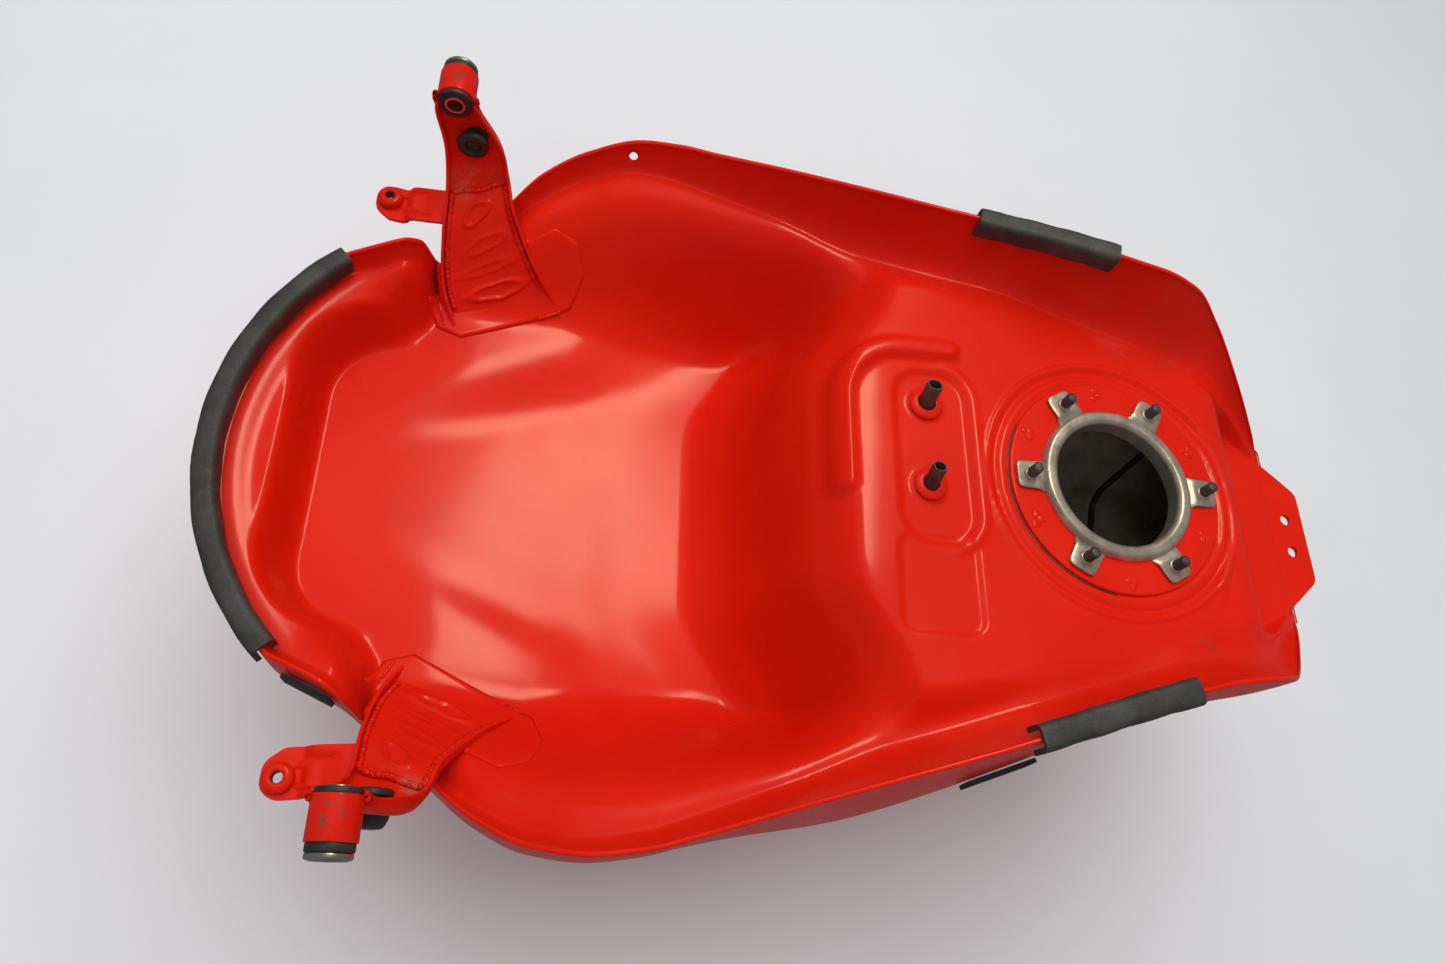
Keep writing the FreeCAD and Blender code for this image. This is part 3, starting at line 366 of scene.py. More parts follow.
def lathe(name, profile, place, axis, material, steps=64, **more):
    """Revolve closed (radius, height) corners about an axis through place, all in millimetres."""
    axis = np.array(Vector(axis).normalized())
    side = np.array(Vector(axis).orthogonal().normalized())
    other = np.cross(axis, side)
    turn = np.linspace(0, 2 * math.pi, steps, endpoint=False)
    ring = np.cos(turn)[:, None] * side + np.sin(turn)[:, None] * other
    radius = np.array([p[0] for p in profile])
    height = np.array([p[1] for p in profile])
    points = np.array(place) + radius[:, None, None] * ring[None] + height[:, None, None] * axis
    faces = grid_faces(len(profile), steps, wrap=True).tolist()
    last = (len(profile) - 1) * steps
    faces += [[last + i, i, (i + 1) % steps, last + (i + 1) % steps] for i in range(steps)]
    return sharpen(piece(name, points.reshape(-1, 3), faces, material, **more), 40)


def rounded(corners, radius, steps=4):
    """Closed polygon corners rounded by short arcs; a radius per corner or one for all."""
    corners = [np.array(c, float) for c in corners]
    out = []
    for i, corner in enumerate(corners):
        r = radius[i] if isinstance(radius, (list, tuple)) else radius
        before, after = corners[i - 1] - corner, corners[(i + 1) % len(corners)] - corner
        reach = min(r, 0.45 * np.linalg.norm(before), 0.45 * np.linalg.norm(after))
        a = corner + before / np.linalg.norm(before) * reach
        b = corner + after / np.linalg.norm(after) * reach
        for u in np.linspace(0, 1, steps + 1):
            out.append((1 - u) ** 2 * a + 2 * u * (1 - u) * corner + u * u * b)
    return np.array(out)


def swept(name, path, section, material, scale=None, **more):
    """Sweep a closed 2-D section (across, up) along a path of points, with flat ends."""
    path = np.asarray(path, float)
    section = np.asarray(section, float)
    ahead = unit(np.gradient(path, axis=0))
    across = unit(np.cross(ahead, UP))
    lift = np.cross(across, ahead)
    grow = np.ones(len(path)) if scale is None else np.asarray(scale)
    points = (path[:, None] + grow[:, None, None] * (section[None, :, :1] * across[:, None]
                                                     + section[None, :, 1:] * lift[:, None]))
    count = len(section)
    faces = grid_faces(len(path), count, wrap=True).tolist()
    faces.append(list(range(count))[::-1])
    faces.append([(len(path) - 1) * count + i for i in range(count)])
    return piece(name, points.reshape(-1, 3), faces, material, **more)


def circle(radius, steps=16):
    """Corners of a round section."""
    turn = np.linspace(0, 2 * math.pi, steps, endpoint=False)
    return np.stack((radius * np.cos(turn), radius * np.sin(turn)), axis=1)


def smooth_path(points, per=12):
    """A Catmull-Rom curve through the points."""
    p = np.asarray(points, float)
    p = np.vstack((2 * p[0] - p[1], p, 2 * p[-1] - p[-2]))
    out = []
    for i in range(1, len(p) - 2):
        for u in np.linspace(0, 1, per, endpoint=False):
            out.append(0.5 * (2 * p[i] + (p[i + 1] - p[i - 1]) * u
                              + (2 * p[i - 1] - 5 * p[i] + 4 * p[i + 1] - p[i + 2]) * u * u
                              + (3 * p[i] - p[i - 1] - 3 * p[i + 1] + p[i + 2]) * u ** 3))
    out.append(p[-2])
    return np.array(out)


def weld_bead(name, points, radius, material="red_paint", ripple=0.22, **more):
    """A lumpy weld bead along a path."""
    path = smooth_path(points, 10)
    count = len(path)
    path = path + RNG.normal(0, 0.12, path.shape)
    lumps = 1 + ripple * np.sin(np.arange(count) * 2.2) + RNG.normal(0, 0.10, count)
    lumps[0] = lumps[-1] = 0.25
    return swept(name, path, circle(radius, 10), material, scale=lumps, **more)


# ================================================================ the tank's pressed shapes
EDGE = [(-420.75, 111, -46), (-396, 122, -43), (-386, 128, -50), (-377, 134, -78),
        (-359, 148, -72), (-341, 164, -52), (-323, 178, -37), (-297, 190, -25),
        (-271, 193.5, -14), (-247, 191, -9), (-226, 185.5, -5),
        (-185, 173.5, 5), (-98, 149, 22), (-5, 120.5, 40), (20, 114.5, 41), (45, 110.5, 35),
        (72, 104, 15), (104, 79, -13), (135, 54, -44)]
FRONT_X, FRONT_Z, REAR_X = EDGE[0][0], EDGE[0][2], EDGE[-1][0]
ARC_R, ARC_X = 154, -314
half_width = through([(x, w) for x, w, _ in EDGE])
edge_height = through([(x, z) for x, _, z in EDGE])
lip_inset = through([(-470, 5), (-396, 6), (-341, 7), (-271, 8), (-185, 12), (-133, 18),
                     (-5, 18), (43, 24), (72, 22), (104, 9), (135, 4)])
lip_drop = through([(-470, 11), (-396, 10), (-377, 12), (-341, 14), (-271, 17), (-185, 28),
                    (-133, 36), (-71, 36), (-5, 44), (43, 40), (72, 22), (104, 12), (135, 1)])
floor_height = through([(-472, -92), (-430, -95), (-400, -98.2), (-370, -101.4), (-340, -104.5),
                        (-310, -107.4), (-280, -109.6), (-250, -110.8), (-222, -110), (-200, -94),
                        (-165, -24), (-145, -6), (-120, -4), (66, -4), (76, -6), (106, -40), (135, -44)])
tunnel_half = through([(-425, 40), (-390, 45), (-360, 55), (-330, 68), (-298, 82), (-253, 102), (-215, 112)])
ledge_rise = through([(-425, 0), (-395, 3), (-350, 6), (-298, 6), (-253, 3), (-215, 0)])
floor_half = through([(-425, 62), (-400, 80), (-369, 98), (-340, 104), (-307, 107),
                      (-275, 100), (-215, 100), (-165, 112), (-110, 112), (-71, 106),
                      (0, 98), (43, 84), (72, 66), (106, 62), (135, 50)])
LEDGE_BLEND, PLATEAU_SETBACK = 30, 30
SHELF_DROP, SHELF_FALL = 11, 4
BASIN_X, BASIN_LONG, BASIN_WIDE, BASIN_CORNER = -242, 200, 97, 50


def ridge(distance, width, rise):
    """A rounded ridge (or, with a negative rise, a groove) over |distance| < width."""
    return rise * (1 - ease(0.2 * width, width, np.abs(distance)))


def box_distance(x, y, cx, cy, hx, hy, corner):
    """Signed distance to a rounded rectangle, negative inside."""
    qx, qy = np.abs(x - cx) - hx + corner, np.abs(y - cy) - hy + corner
    outside = np.hypot(np.maximum(qx, 0), np.maximum(qy, 0))
    return outside + np.minimum(np.maximum(qx, qy), 0) - corner


def path_distance(x, y, points):
    """Distance to an open polyline."""
    best = np.full(np.shape(x), 1e9)
    for (ax, ay), (bx, by) in zip(points, points[1:]):
        dx, dy = bx - ax, by - ay
        u = np.clip(((x - ax) * dx + (y - ay) * dy) / (dx * dx + dy * dy), 0, 1)
        best = np.minimum(best, np.hypot(x - ax - u * dx, y - ay - u * dy))
    return best


J_RIDGE = ([(-154, -12), (-154, 30)]
           + [(-120 - 34 * math.cos(a), 38 + 33 * math.sin(a)) for a in np.linspace(0.15, 1.5, 9)]
           + [(-92, 72)])


def pressed_details(x, y):
    """The small pressings on the pump plateau."""
    radius = np.hypot(x, y)
    rise = ridge(radius - 75, 2.4, 1.1) + ridge(radius - 70.5, 2.2, -1.3) + ridge(radius - 66, 2.2, 0.6)
    platform = box_distance(x, y, -104, 8, 21, 50, 17)
    rise = rise - 2.4 * (1 - ease(-3.0, 2.5, platform))
    rise += ridge(platform - 4.5, 3.4, 0.9) * ease(-104, -92, x)
    rise += 4.6 * (1 - ease(1.5, 9.5, path_distance(x, y, J_RIDGE)))
    strip = box_distance(x, y, -106, -64, 22, 26, 8)
    rise += -1.6 * (1 - ease(-3.0, 2.0, strip)) * ease(-30, -46, y)
    for px, py in ((-107, 37.5), (-108, -10.4)):
        rise += 1.3 * (1 - ease(8, 11.5, np.hypot(x - px, y - py)))
    rear = (x - 66) + 0.0035 * y * y
    rise += ridge(rear, 5, 1.0) * (1 - ease(50, 66, np.abs(y)))
    return rise


def climb(low, high, x):
    """From 0 to 1, level at first and steepest at the end, like a flange rolled up to a rim."""
    return np.clip((x - low) / (high - low), 0, 1) ** 2


def pan_height(x, y):
    """Height of the bottom pan over (x, y)."""
    across = np.abs(y)
    ahead = x < FRONT_X
    arc = np.sqrt(np.maximum(ARC_R ** 2 - (x - ARC_X) ** 2, 0))
    edge = np.where(ahead, arc, half_width(x))
    top = np.where(ahead, FRONT_Z, edge_height(x))
    root = top - lip_drop(x)
    foot = np.maximum(np.maximum(edge - lip_inset(x), 0.6 * edge), 1.0)
    edge = np.maximum(edge, foot + 1.0)
    flat = np.minimum(floor_half(x), 0.9 * foot)
    side = tunnel_half(x)
    setback = PLATEAU_SETBACK * ease(45, 130, across) * ease(-60, -110, x)
    base = floor_height(x - setback) + ledge_rise(x) * ease(side - LEDGE_BLEND, side + LEDGE_BLEND, across)
    height = base + (root - base) * ease(flat, foot, across)
    reach = ARC_R - np.hypot(x - ARC_X, y)
    basin = box_distance(x, y, BASIN_X, 0, BASIN_LONG, BASIN_WIDE, BASIN_CORNER)
    shelf = FRONT_Z - SHELF_DROP - SHELF_FALL * ease(4, 24, reach)
    shelf = shelf + (base - shelf) * ease(1.5, -16, basin)
    height = height + (shelf - height) * ease(-380, -420, x)
    lift = np.where(ahead, SHELF_DROP * climb(5, 0, reach), (top - height) * climb(foot, edge, across))
    return height + lift + pressed_details(x, y)


def hole_through(points, faces, axis_point, axis, radius):
    """Open a round hole in a grid of points and faces, with its rim snapped to the circle."""
    axis = np.asarray(axis, float) / np.linalg.norm(axis)
    offset = points - axis_point
    along = offset @ axis
    radial = offset - along[:, None] * axis
    distance = np.linalg.norm(radial, axis=1)
    near = np.abs(along) < 12
    gone = ((distance < radius) & near)[faces].any(axis=1)
    rim = np.intersect1d(faces[gone], faces[~gone])
    scale = radius / np.maximum(distance[rim], 0.1)
    points = points.copy()
    points[rim] = axis_point + along[rim, None] * axis + radial[rim] * scale[:, None]
    return points, faces[~gone]


# the hole in the left rim: a point on its axis, the axis, and its radius
RIM_HOLE = ((-272, 190.5, -21.5), (0.065, 0.675, -0.735), 2.6)
PUMP_OPENING = 42
SHEET = 0.9


def build_pan():
    """The bottom pan: one dense sheet, open for the pump and for the hole in its rim."""
    rows, columns = 420, 261
    along = np.linspace(0, 1, rows)[:, None]
    along = along - 0.045 * np.sin(along * 2 * math.pi) * (1 - along)
    s = np.linspace(-1, 1, columns)[None]
    across = np.sign(s) * (1 - (1 - np.abs(s)) ** 1.4)
    x = FRONT_X + (REAR_X - FRONT_X) * along + 0 * across
    y = half_width(x) * across
    front = half_width(FRONT_X)
    bow = np.sqrt(ARC_R ** 2 - (front * across) ** 2) - math.sqrt(ARC_R ** 2 - front ** 2)
    x = x - bow * np.maximum(1 - along / 0.25, 0) ** 2
    z = pan_height(x, y)
    z[:, 0] = z[:, -1] = edge_height(x[:, 0])
    points = np.stack((x, y, z), axis=-1).reshape(-1, 3)
    faces = grid_faces(rows, columns)
    middle = points[faces].mean(axis=1)
    faces = faces[np.hypot(middle[:, 0], middle[:, 1]) > PUMP_OPENING]
    points, faces = hole_through(points, faces, *RIM_HOLE)
    pan = piece("bottom_pan_sheet", points, faces, "red_paint", closed=False)
    thicken(pan, SHEET, inner="inner_steel")
    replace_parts(pan, "bottom_pan")


keel_height = through([(-462, -75), (-450, -115), (-425, -165), (-380, -210), (-320, -236),
                       (-240, -250), (-170, -244), (-110, -226), (-50, -190), (20, -140),
                       (80, -98), (135, -58)])
swell = through([(0, 2), (0.25, 4), (0.4, 4), (0.55, 16), (0.68, 10), (0.8, 2), (0.9, 0), (1, 0)])
KEEL_FRONT, KEEL_REAR = -415, 112
SKIN_OUT = 2.0
CAP_X, CAP_FACE_Z, CAP_DEPTH, NECK_OPENING = -226, -256, 6, 34


def edge_points(along, out=SKIN_OUT):
    """The tank's edge from the front centre (0) to the rear centre (1), moved out."""
    arc_part, rear_part = 0.16, 0.92
    angle = math.asin(half_width(FRONT_X) / ARC_R) * np.clip(along / arc_part, 0, 1)
    radius = ARC_R + out
    u = np.clip((along - arc_part) / (rear_part - arc_part), 0, 1)
    x = FRONT_X + (REAR_X - FRONT_X) * u
    w = np.clip((along - rear_part) / (1 - rear_part), 0, 1)
    front, rear = along < arc_part, along > rear_part
    ex = np.where(front, ARC_X - radius * np.cos(angle), np.where(rear, REAR_X + out, x))
    ey = np.where(front, radius * np.sin(angle), (half_width(x) + out) * (1 - w))
    ez = np.where(front, FRONT_Z, edge_height(x))
    return ex, ey, ez


def skin_points(along, down):
    """Points of the left skin, from the edge (down = 0) to the keel (down = 1)."""
    ex, ey, ez = edge_points(along)
    keel_x = KEEL_FRONT + (KEEL_REAR - KEEL_FRONT) * along
    angle = down * math.pi / 2
    out, deep = np.cos(angle) ** 0.8, np.sin(angle) ** 0.85
    bulge = swell(along) * np.sin(math.pi * np.clip(down * 1.9, 0, 1))
    y = 0.5 + (ey - 0.5) * out + bulge
    x = keel_x + (ex - keel_x) * out
    z = ez + (keel_height(keel_x) - ez) * deep
    near_cap = 1 - ease(58, 84, np.hypot(x - CAP_X, y))
    return np.stack((x, y, z + (CAP_FACE_Z + CAP_DEPTH - z) * near_cap), axis=-1)


def build_skins():
    """The two halves of the outer skin, each with the rolled top of its welded edge."""
    rows, columns = 380, 150
    along = np.linspace(0, 1, rows)[:, None] + np.zeros((1, columns))
    down = np.linspace(0, 1, columns)[None] ** 1.25 + np.zeros((rows, 1))
    flank = skin_points(along, down)
    bead = []
    sink = ease(0.905, 0.93, along[:, 0])
    for a in np.linspace(math.pi, 0.2, 8):
        ex, ey, ez = edge_points(along[:, 0], out=0.6 + 1.4 * math.cos(a))
        bead.append(np.stack((ex, ey, ez + 1.2 * math.sin(a) - 2.3 * sink), axis=-1))
    points = np.concatenate((np.stack(bead, axis=1), flank), axis=1)
    count = points.shape[1]
    flat_points = points.reshape(-1, 3)
    faces = grid_faces(rows, count)
    middle = flat_points[faces].mean(axis=1)
    in_neck = (np.hypot(middle[:, 0] - CAP_X, middle[:, 1]) <= NECK_OPENING) & (middle[:, 2] <= -200)
    faces = faces[~in_neck]
    for side_name, side in SIDES:
        shape = hole_through(flat_points, faces, *RIM_HOLE) if side > 0 else (flat_points, faces)
        skin = piece("outer_skin_" + side_name, *shape, "red_paint", side, closed=False)
        thicken(skin, SHEET, inner="inner_steel")
        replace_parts(skin, "skin_" + side_name)


# ================================================================ front mounts
# the tips of both flanges at each station, from the foot up
BRACKET = [((-365, 101, -93.8), (-306.5, 125, -93)), ((-374.4, 119.6, -77), (-323.3, 137.6, -67)),
           ((-376.5, 140, -55.5), (-336.4, 154, -43.5)), ((-376, 159, -38), (-341, 167, -32)),
           ((-377, 169, -16), (-346, 174, -16)), ((-381.5, 173, 3), (-357, 175.5, 3)),
           ((-381.5, 174, 11), (-360.5, 175, 12))]
FLANGE, GAUGE = 7.5, 2.0
PATCH_AT, PATCH_TURN, PATCH_LONG, PATCH_WIDE = (-337, 126), math.radians(25), 46, 17
# plug welds: station, offset across, half length across and along, height, turn
PLUG_WELDS = [(22.5, -1.0, 8.0, 4.8, 1.3, 0.6), (15.5, 2.0, 12.0, 3.8, 0.7, 0.2),
              (11.0, 2.0, 14.0, 2.6, 0.6, 0.1), (6.0, 2.0, 16.0, 4.4, 1.6, 0.05)]
DOUBLER_TOP = 28.5
MOUNT_X, MOUNT_Z, TUBE_IN, TUBE_OUT = -371, 12, 176.5, 194
GROMMET_AT = (-362, 171.5, -15)


def bracket_frames(per=10):
    """Flange tips, span and outward directions along the bracket, smoothly through its stations."""
    left = smooth_path([a for a, _ in BRACKET], per)
    right = smooth_path([b for _, b in BRACKET], per)
    heading = unit(np.gradient((left + right) / 2, axis=0))
    span = unit(right - left)
    out = unit(np.cross(span, heading))
    out *= np.where(out[:, 1] < 0, -1, 1)[:, None]
    return left, right, span, out


def loft(name, rings, material, side=1, **more):
    """Closed sections joined along their length, with both ends capped."""
    rings = np.asarray(rings)
    stations, count = rings.shape[:2]
    faces = grid_faces(stations, count, wrap=True).tolist()
    faces += [list(range(count))[::-1], [(stations - 1) * count + i for i in range(count)]]
    return piece(name, rings.reshape(-1, 3), faces, material, side, **more)


def build_bracket(side_name, side):
    """A U channel, with a doubler sheet inside its lower half held by broad oval plug welds."""
    left, right, span, out = bracket_frames()
    width = np.linalg.norm(right - left, axis=1)
    # the flanges grow out of the web with a soft wave, as they were hand-dressed for welding
    rings = []
    for i in range(len(left)):
        w, tall = width[i], FLANGE + 0.6 * math.sin(i * 0.35)
        flare = 1.2 * math.exp(-i / 8)
        corners = [(-flare, FLANGE - tall), (0, FLANGE), (w, FLANGE), (w + flare, FLANGE - tall),
                   (w - GAUGE + flare, FLANGE - tall), (w - GAUGE, FLANGE - GAUGE),
                   (GAUGE, FLANGE - GAUGE), (GAUGE - flare, FLANGE - tall)]
        outline = rounded(corners, [0.8, 3.2, 3.2, 0.8, 0.8, 1.6, 1.6, 0.8], 4)
        rings.append(left[i] + outline[:, :1] * span[i] + outline[:, 1:] * out[i])
    bracket = sharpen(loft("mount_bracket_" + side_name, rings, "red_paint", side), 50)
    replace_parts(bracket, "bracket_" + side_name)

    stations = np.arange(len(left))
    middle = (left + right) / 2
    length = np.concatenate(([0], np.cumsum(np.linalg.norm(np.diff(middle, axis=0), axis=1))))

    def inner_width(station):
        return np.interp(station, stations, width) - 2 * GAUGE - 2.4

    def inside(station, share, lift):
        """A point in the channel: station along it, share across it, lift above its web."""
        at_left, at_span, at_out = (
            np.stack([np.interp(station, stations, line[:, k]) for k in range(3)], axis=-1)
            for line in (left, span, out))
        reach = GAUGE + 1.2 + share * inner_width(station)
        return at_left + at_span * reach[..., None] + at_out * (FLANGE - GAUGE - lift)[..., None]

    station = np.linspace(2, DOUBLER_TOP, 130)[:, None] + np.zeros((1, 51))
    share = np.linspace(0, 1, 51)[None] + np.zeros((130, 1))
    u, v = (share - 0.5) * inner_width(station), np.interp(station, stations, length)
    lift = 2.0 + 0.25 * np.sin(v * 0.16 + u * 0.12) + 0.05 * np.sin(v * 0.6 - u * 0.35)
    for at, aside, long, tall, rise, turn in PLUG_WELDS:
        du, dv = u - aside, v - np.interp(at, stations, length)
        du, dv = du * math.cos(turn) + dv * math.sin(turn), dv * math.cos(turn) - du * math.sin(turn)
        swirl = 1 + 0.10 * np.sin(3 * np.arctan2(dv, du) + at)
        rim = np.abs(np.hypot(du / long, dv / tall) - swirl) * min(long, tall)
        lift = lift + rise * np.exp(-(rim / 1.15) ** 2)
    sheet = inside(station, share, lift)
    back = inside(station[:, ::-1], share[:, ::-1], np.full(share.shape, 0.1))
    doubler = sharpen(loft("bracket_doubler_sheet_" + side_name, np.concatenate((sheet, back), axis=1),
                           "red_paint", side), 60)
    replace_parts(doubler, "bracket_doubler_" + side_name)
    shares = np.linspace(0.03, 0.97, 14)
    climbing = np.linspace(4, DOUBLER_TOP, 14)
    beads = {"top": inside(DOUBLER_TOP + 0.3 * np.sin(shares * 9), shares, np.full(14, 1.6)),
             "front": inside(climbing, np.full(14, 0.01), np.full(14, 2.0)),
             "rear": inside(climbing, np.full(14, 0.99), np.full(14, 2.0))}
    for name, path in beads.items():
        weld_bead(f"bracket_weld_{name}_{side_name}", path, 1.4, side=side)
    for name, tips, turned in (("front", left, -1), ("rear", right, 1)):
        seam = [tips[i] + out[i] * FLANGE * 0.8 + turned * span[i] for i in range(2, 16, 3)]
        weld_bead(f"bracket_seam_{name}_{side_name}", seam, 1.5, side=side)


def plate_point(u, v, narrow=1.0):
    """(x, y) of a point of the foot plate; u and v run from -1 to 1 along and across it."""
    x, y = u * PATCH_LONG * narrow, v * PATCH_WIDE
    return (PATCH_AT[0] + x * math.cos(PATCH_TURN) - y * math.sin(PATCH_TURN),
            PATCH_AT[1] + x * math.sin(PATCH_TURN) + y * math.cos(PATCH_TURN))


def build_foot_plate(side_name, side):
    """The eight-sided plate under a bracket's foot, pressed to follow the pan."""
    u = np.linspace(-1, 1, 45)[:, None] + np.zeros((1, 25))
    v = np.linspace(-1, 1, 25)[None] + np.zeros((45, 1))
    reach = 1 - 0.25 * np.maximum(np.abs(v) - 0.4, 0) / 0.6
    px, py = plate_point(u, v, reach)
    border = np.minimum(PATCH_LONG * (1 - np.abs(u)), PATCH_WIDE * (1 - np.abs(v)))
    dent = 1.1 * np.exp(-((u - 0.62) / 0.2) ** 2 - (v / 0.5) ** 2)
    pz = pan_height(px, py) + 1.5 - 1.2 * (1 - ease(0, 1.6, border)) + dent
    grid = np.stack((px, py, pz), axis=-1).reshape(-1, 3)
    plate = piece("foot_plate_sheet_" + side_name, grid, grid_faces(45, 25), "red_paint", side, closed=False)
    thicken(plate, 1.2)
    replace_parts(plate, "foot_plate_" + side_name)
    long_side = [(u, -0.95) for u in np.linspace(0.30, 0.62, 6)]
    front_end = [(-0.9, v) for v in np.linspace(-0.5, 0.3, 5)]
    for number, spots in enumerate((long_side, front_end)):
        path = []
        for spot_u, spot_v in spots:
            px, py = plate_point(spot_u, spot_v)
            path.append((px, py, float(pan_height(np.array(px), np.array(py))) + 0.9))
        weld_bead(f"foot_weld_{number}_{side_name}", path, 1.1, side=side)


def build_stay(side_name, side):
    """The flat arm in front of each bracket, bent twice, with a weld nut at its end."""
    low, boss, hole = -62.0, np.array((-408.6, 163.6)), 2.7
    outline = rounded([(-372, 147.5), (-397, 149), (-408, 150), (-416.5, 157), (-416.5, 168.5),
                       (-410, 173.5), (-397, 172), (-372, 170.5)], [1, 6, 2, 4, 7, 6, 4, 1], 5)

    def height(x):
        return low + 4.5 * ease(-400, -394, x) + 2.5 * ease(-392, -379, x)

    # rings of points from the hole out to the outline, in the order of their angle about the hole
    angles = np.arctan2(outline[:, 1] - boss[1], outline[:, 0] - boss[0])
    rows = []
    for share in np.linspace(0, 1, 34):
        row = []
        for i in np.argsort(angles):
            start = boss + hole * np.array((math.cos(angles[i]), math.sin(angles[i])))
            x, y = start + (outline[i] - start) * share
            row.append((x, y, height(x)))
        rows.append(row)
    rows = np.array(rows)
    arm = piece("cowl_stay_sheet_" + side_name, rows.reshape(-1, 3), grid_faces(*rows.shape[:2], wrap=True),
                "red_paint", side, closed=False)
    face_outwards(arm.data, upward=True)
    thicken(arm, 2, offset=0)
    soften(arm, 0.5)
    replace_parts(arm, "cowl_stay_" + side_name)
    nut = lathe("stay_weld_nut_" + side_name,
                rounded([(2.6, 1), (7.25, 1), (7.0, 4.2), (5.6, 5.6), (3.6, 6.0), (2.6, 5.2)], 0.8, 3),
                (boss[0], side * boss[1], low), UP, "red_paint")
    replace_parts(nut, "stay_nut_" + side_name)
    thread = lathe("stay_thread_" + side_name, [(2.55, 0.5), (2.62, 0.5), (2.62, 5.2), (2.55, 5.2)],
                   (boss[0], side * boss[1], low), UP, "dark_steel", slot="red_paint")
    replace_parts(thread, "stay_nut_" + side_name)


def build_mount(side_name, side):
    """Mount tube, rubber bush and steel collar, turned about the mount's outward axis."""
    place, axis = (MOUNT_X, 0, MOUNT_Z), (0, side, 0)
    rubber_end, collar_end = TUBE_OUT + 3.6, TUBE_OUT + 6.1
    tube = rounded([(8.2, TUBE_IN), (10, TUBE_IN), (10, TUBE_OUT), (8.2, TUBE_OUT)], 0.5, 3)
    bush = rounded([(5.5, TUBE_IN - 2.6), (9.3, TUBE_IN - 2.6), (9.3, TUBE_IN), (8.15, TUBE_IN),
                    (8.15, TUBE_OUT), (9.3, TUBE_OUT), (9.3, rubber_end), (5.5, rubber_end)],
                   [0.3, 1.2, 0.6, 0.2, 0.2, 0.6, 1.0, 0.3], 4)
    collar = rounded([(4.1, TUBE_IN - 3.4), (5.5, TUBE_IN - 3.4), (5.5, rubber_end), (9, rubber_end),
                      (9, collar_end - 0.5), (8.4, collar_end), (4.1, collar_end)],
                     [0.4, 0.6, 0.2, 0.7, 0.6, 0.5, 0.5], 4)
    for name, material, profile in (("tube", "red_paint", tube), ("rubber", "black_rubber", bush),
                                    ("collar", "zinc_steel", collar)):
        turned = lathe(f"{name}_turned_{side_name}", profile, place, axis, material, 96)
        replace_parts(turned, f"mount_{name}_{side_name}")
    low, high = TUBE_OUT + 5.8, TUBE_OUT + 6.5
    raised = rounded([(5.4, low), (7.4, low), (7.2, high), (5.6, high)], 0.3, 3)
    step = lathe(f"washer_step_{side_name}", raised, place, axis, "zinc_steel", 96)
    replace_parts(step, "mount_collar_" + side_name)
    ring = [(MOUNT_X + 10.6 * math.cos(a), TUBE_IN + 1.0, MOUNT_Z + 10.6 * math.sin(a))
            for a in np.linspace(math.radians(165), math.radians(375), 40)]
    weld_bead("tube_weld_" + side_name, ring, 1.5, side=side)
    knob = rounded([(0, 2.6), (3.6, 2.4), (4.4, 0.2), (5.4, -0.6), (8.6, -0.2), (8.8, 2.8), (7.2, 3.4),
                    (7.2, 7), (8, 7.4), (8, 11), (6, 15.5), (0, 15.5)],
                   [0, 0.5, 0.8, 0.8, 1.2, 0.8, 0.3, 0.3, 0.8, 1.5, 2, 0], 4)
    grommet = lathe("grommet_turned_" + side_name, knob, (GROMMET_AT[0], side * GROMMET_AT[1], GROMMET_AT[2]),
                    (0, side, 0), "black_rubber", 72)
    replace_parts(grommet, "cowl_grommet_" + side_name)


# ================================================================ pump opening, studs and pipes
INNER_BEAD = [(90, 72), (80, 62), (66, 47), (61, 26), (57, 12)]
STUD_CIRCLE = 52
# each ear steps down from the rim, then lies flat around its stud: reach, height, half width
EAR = [(42.5, -1.4, 9.4), (44.5, -0.6, 9.0), (45.8, 0.1, 8.4), (47.2, 0.55, 8.1), (48.6, 0.5, 8.0),
       (52, 0.3, 7.9), (56, 0.3, 7.7), (58.4, 0.3, 7.3), (59.4, 0.3, 5.6)]


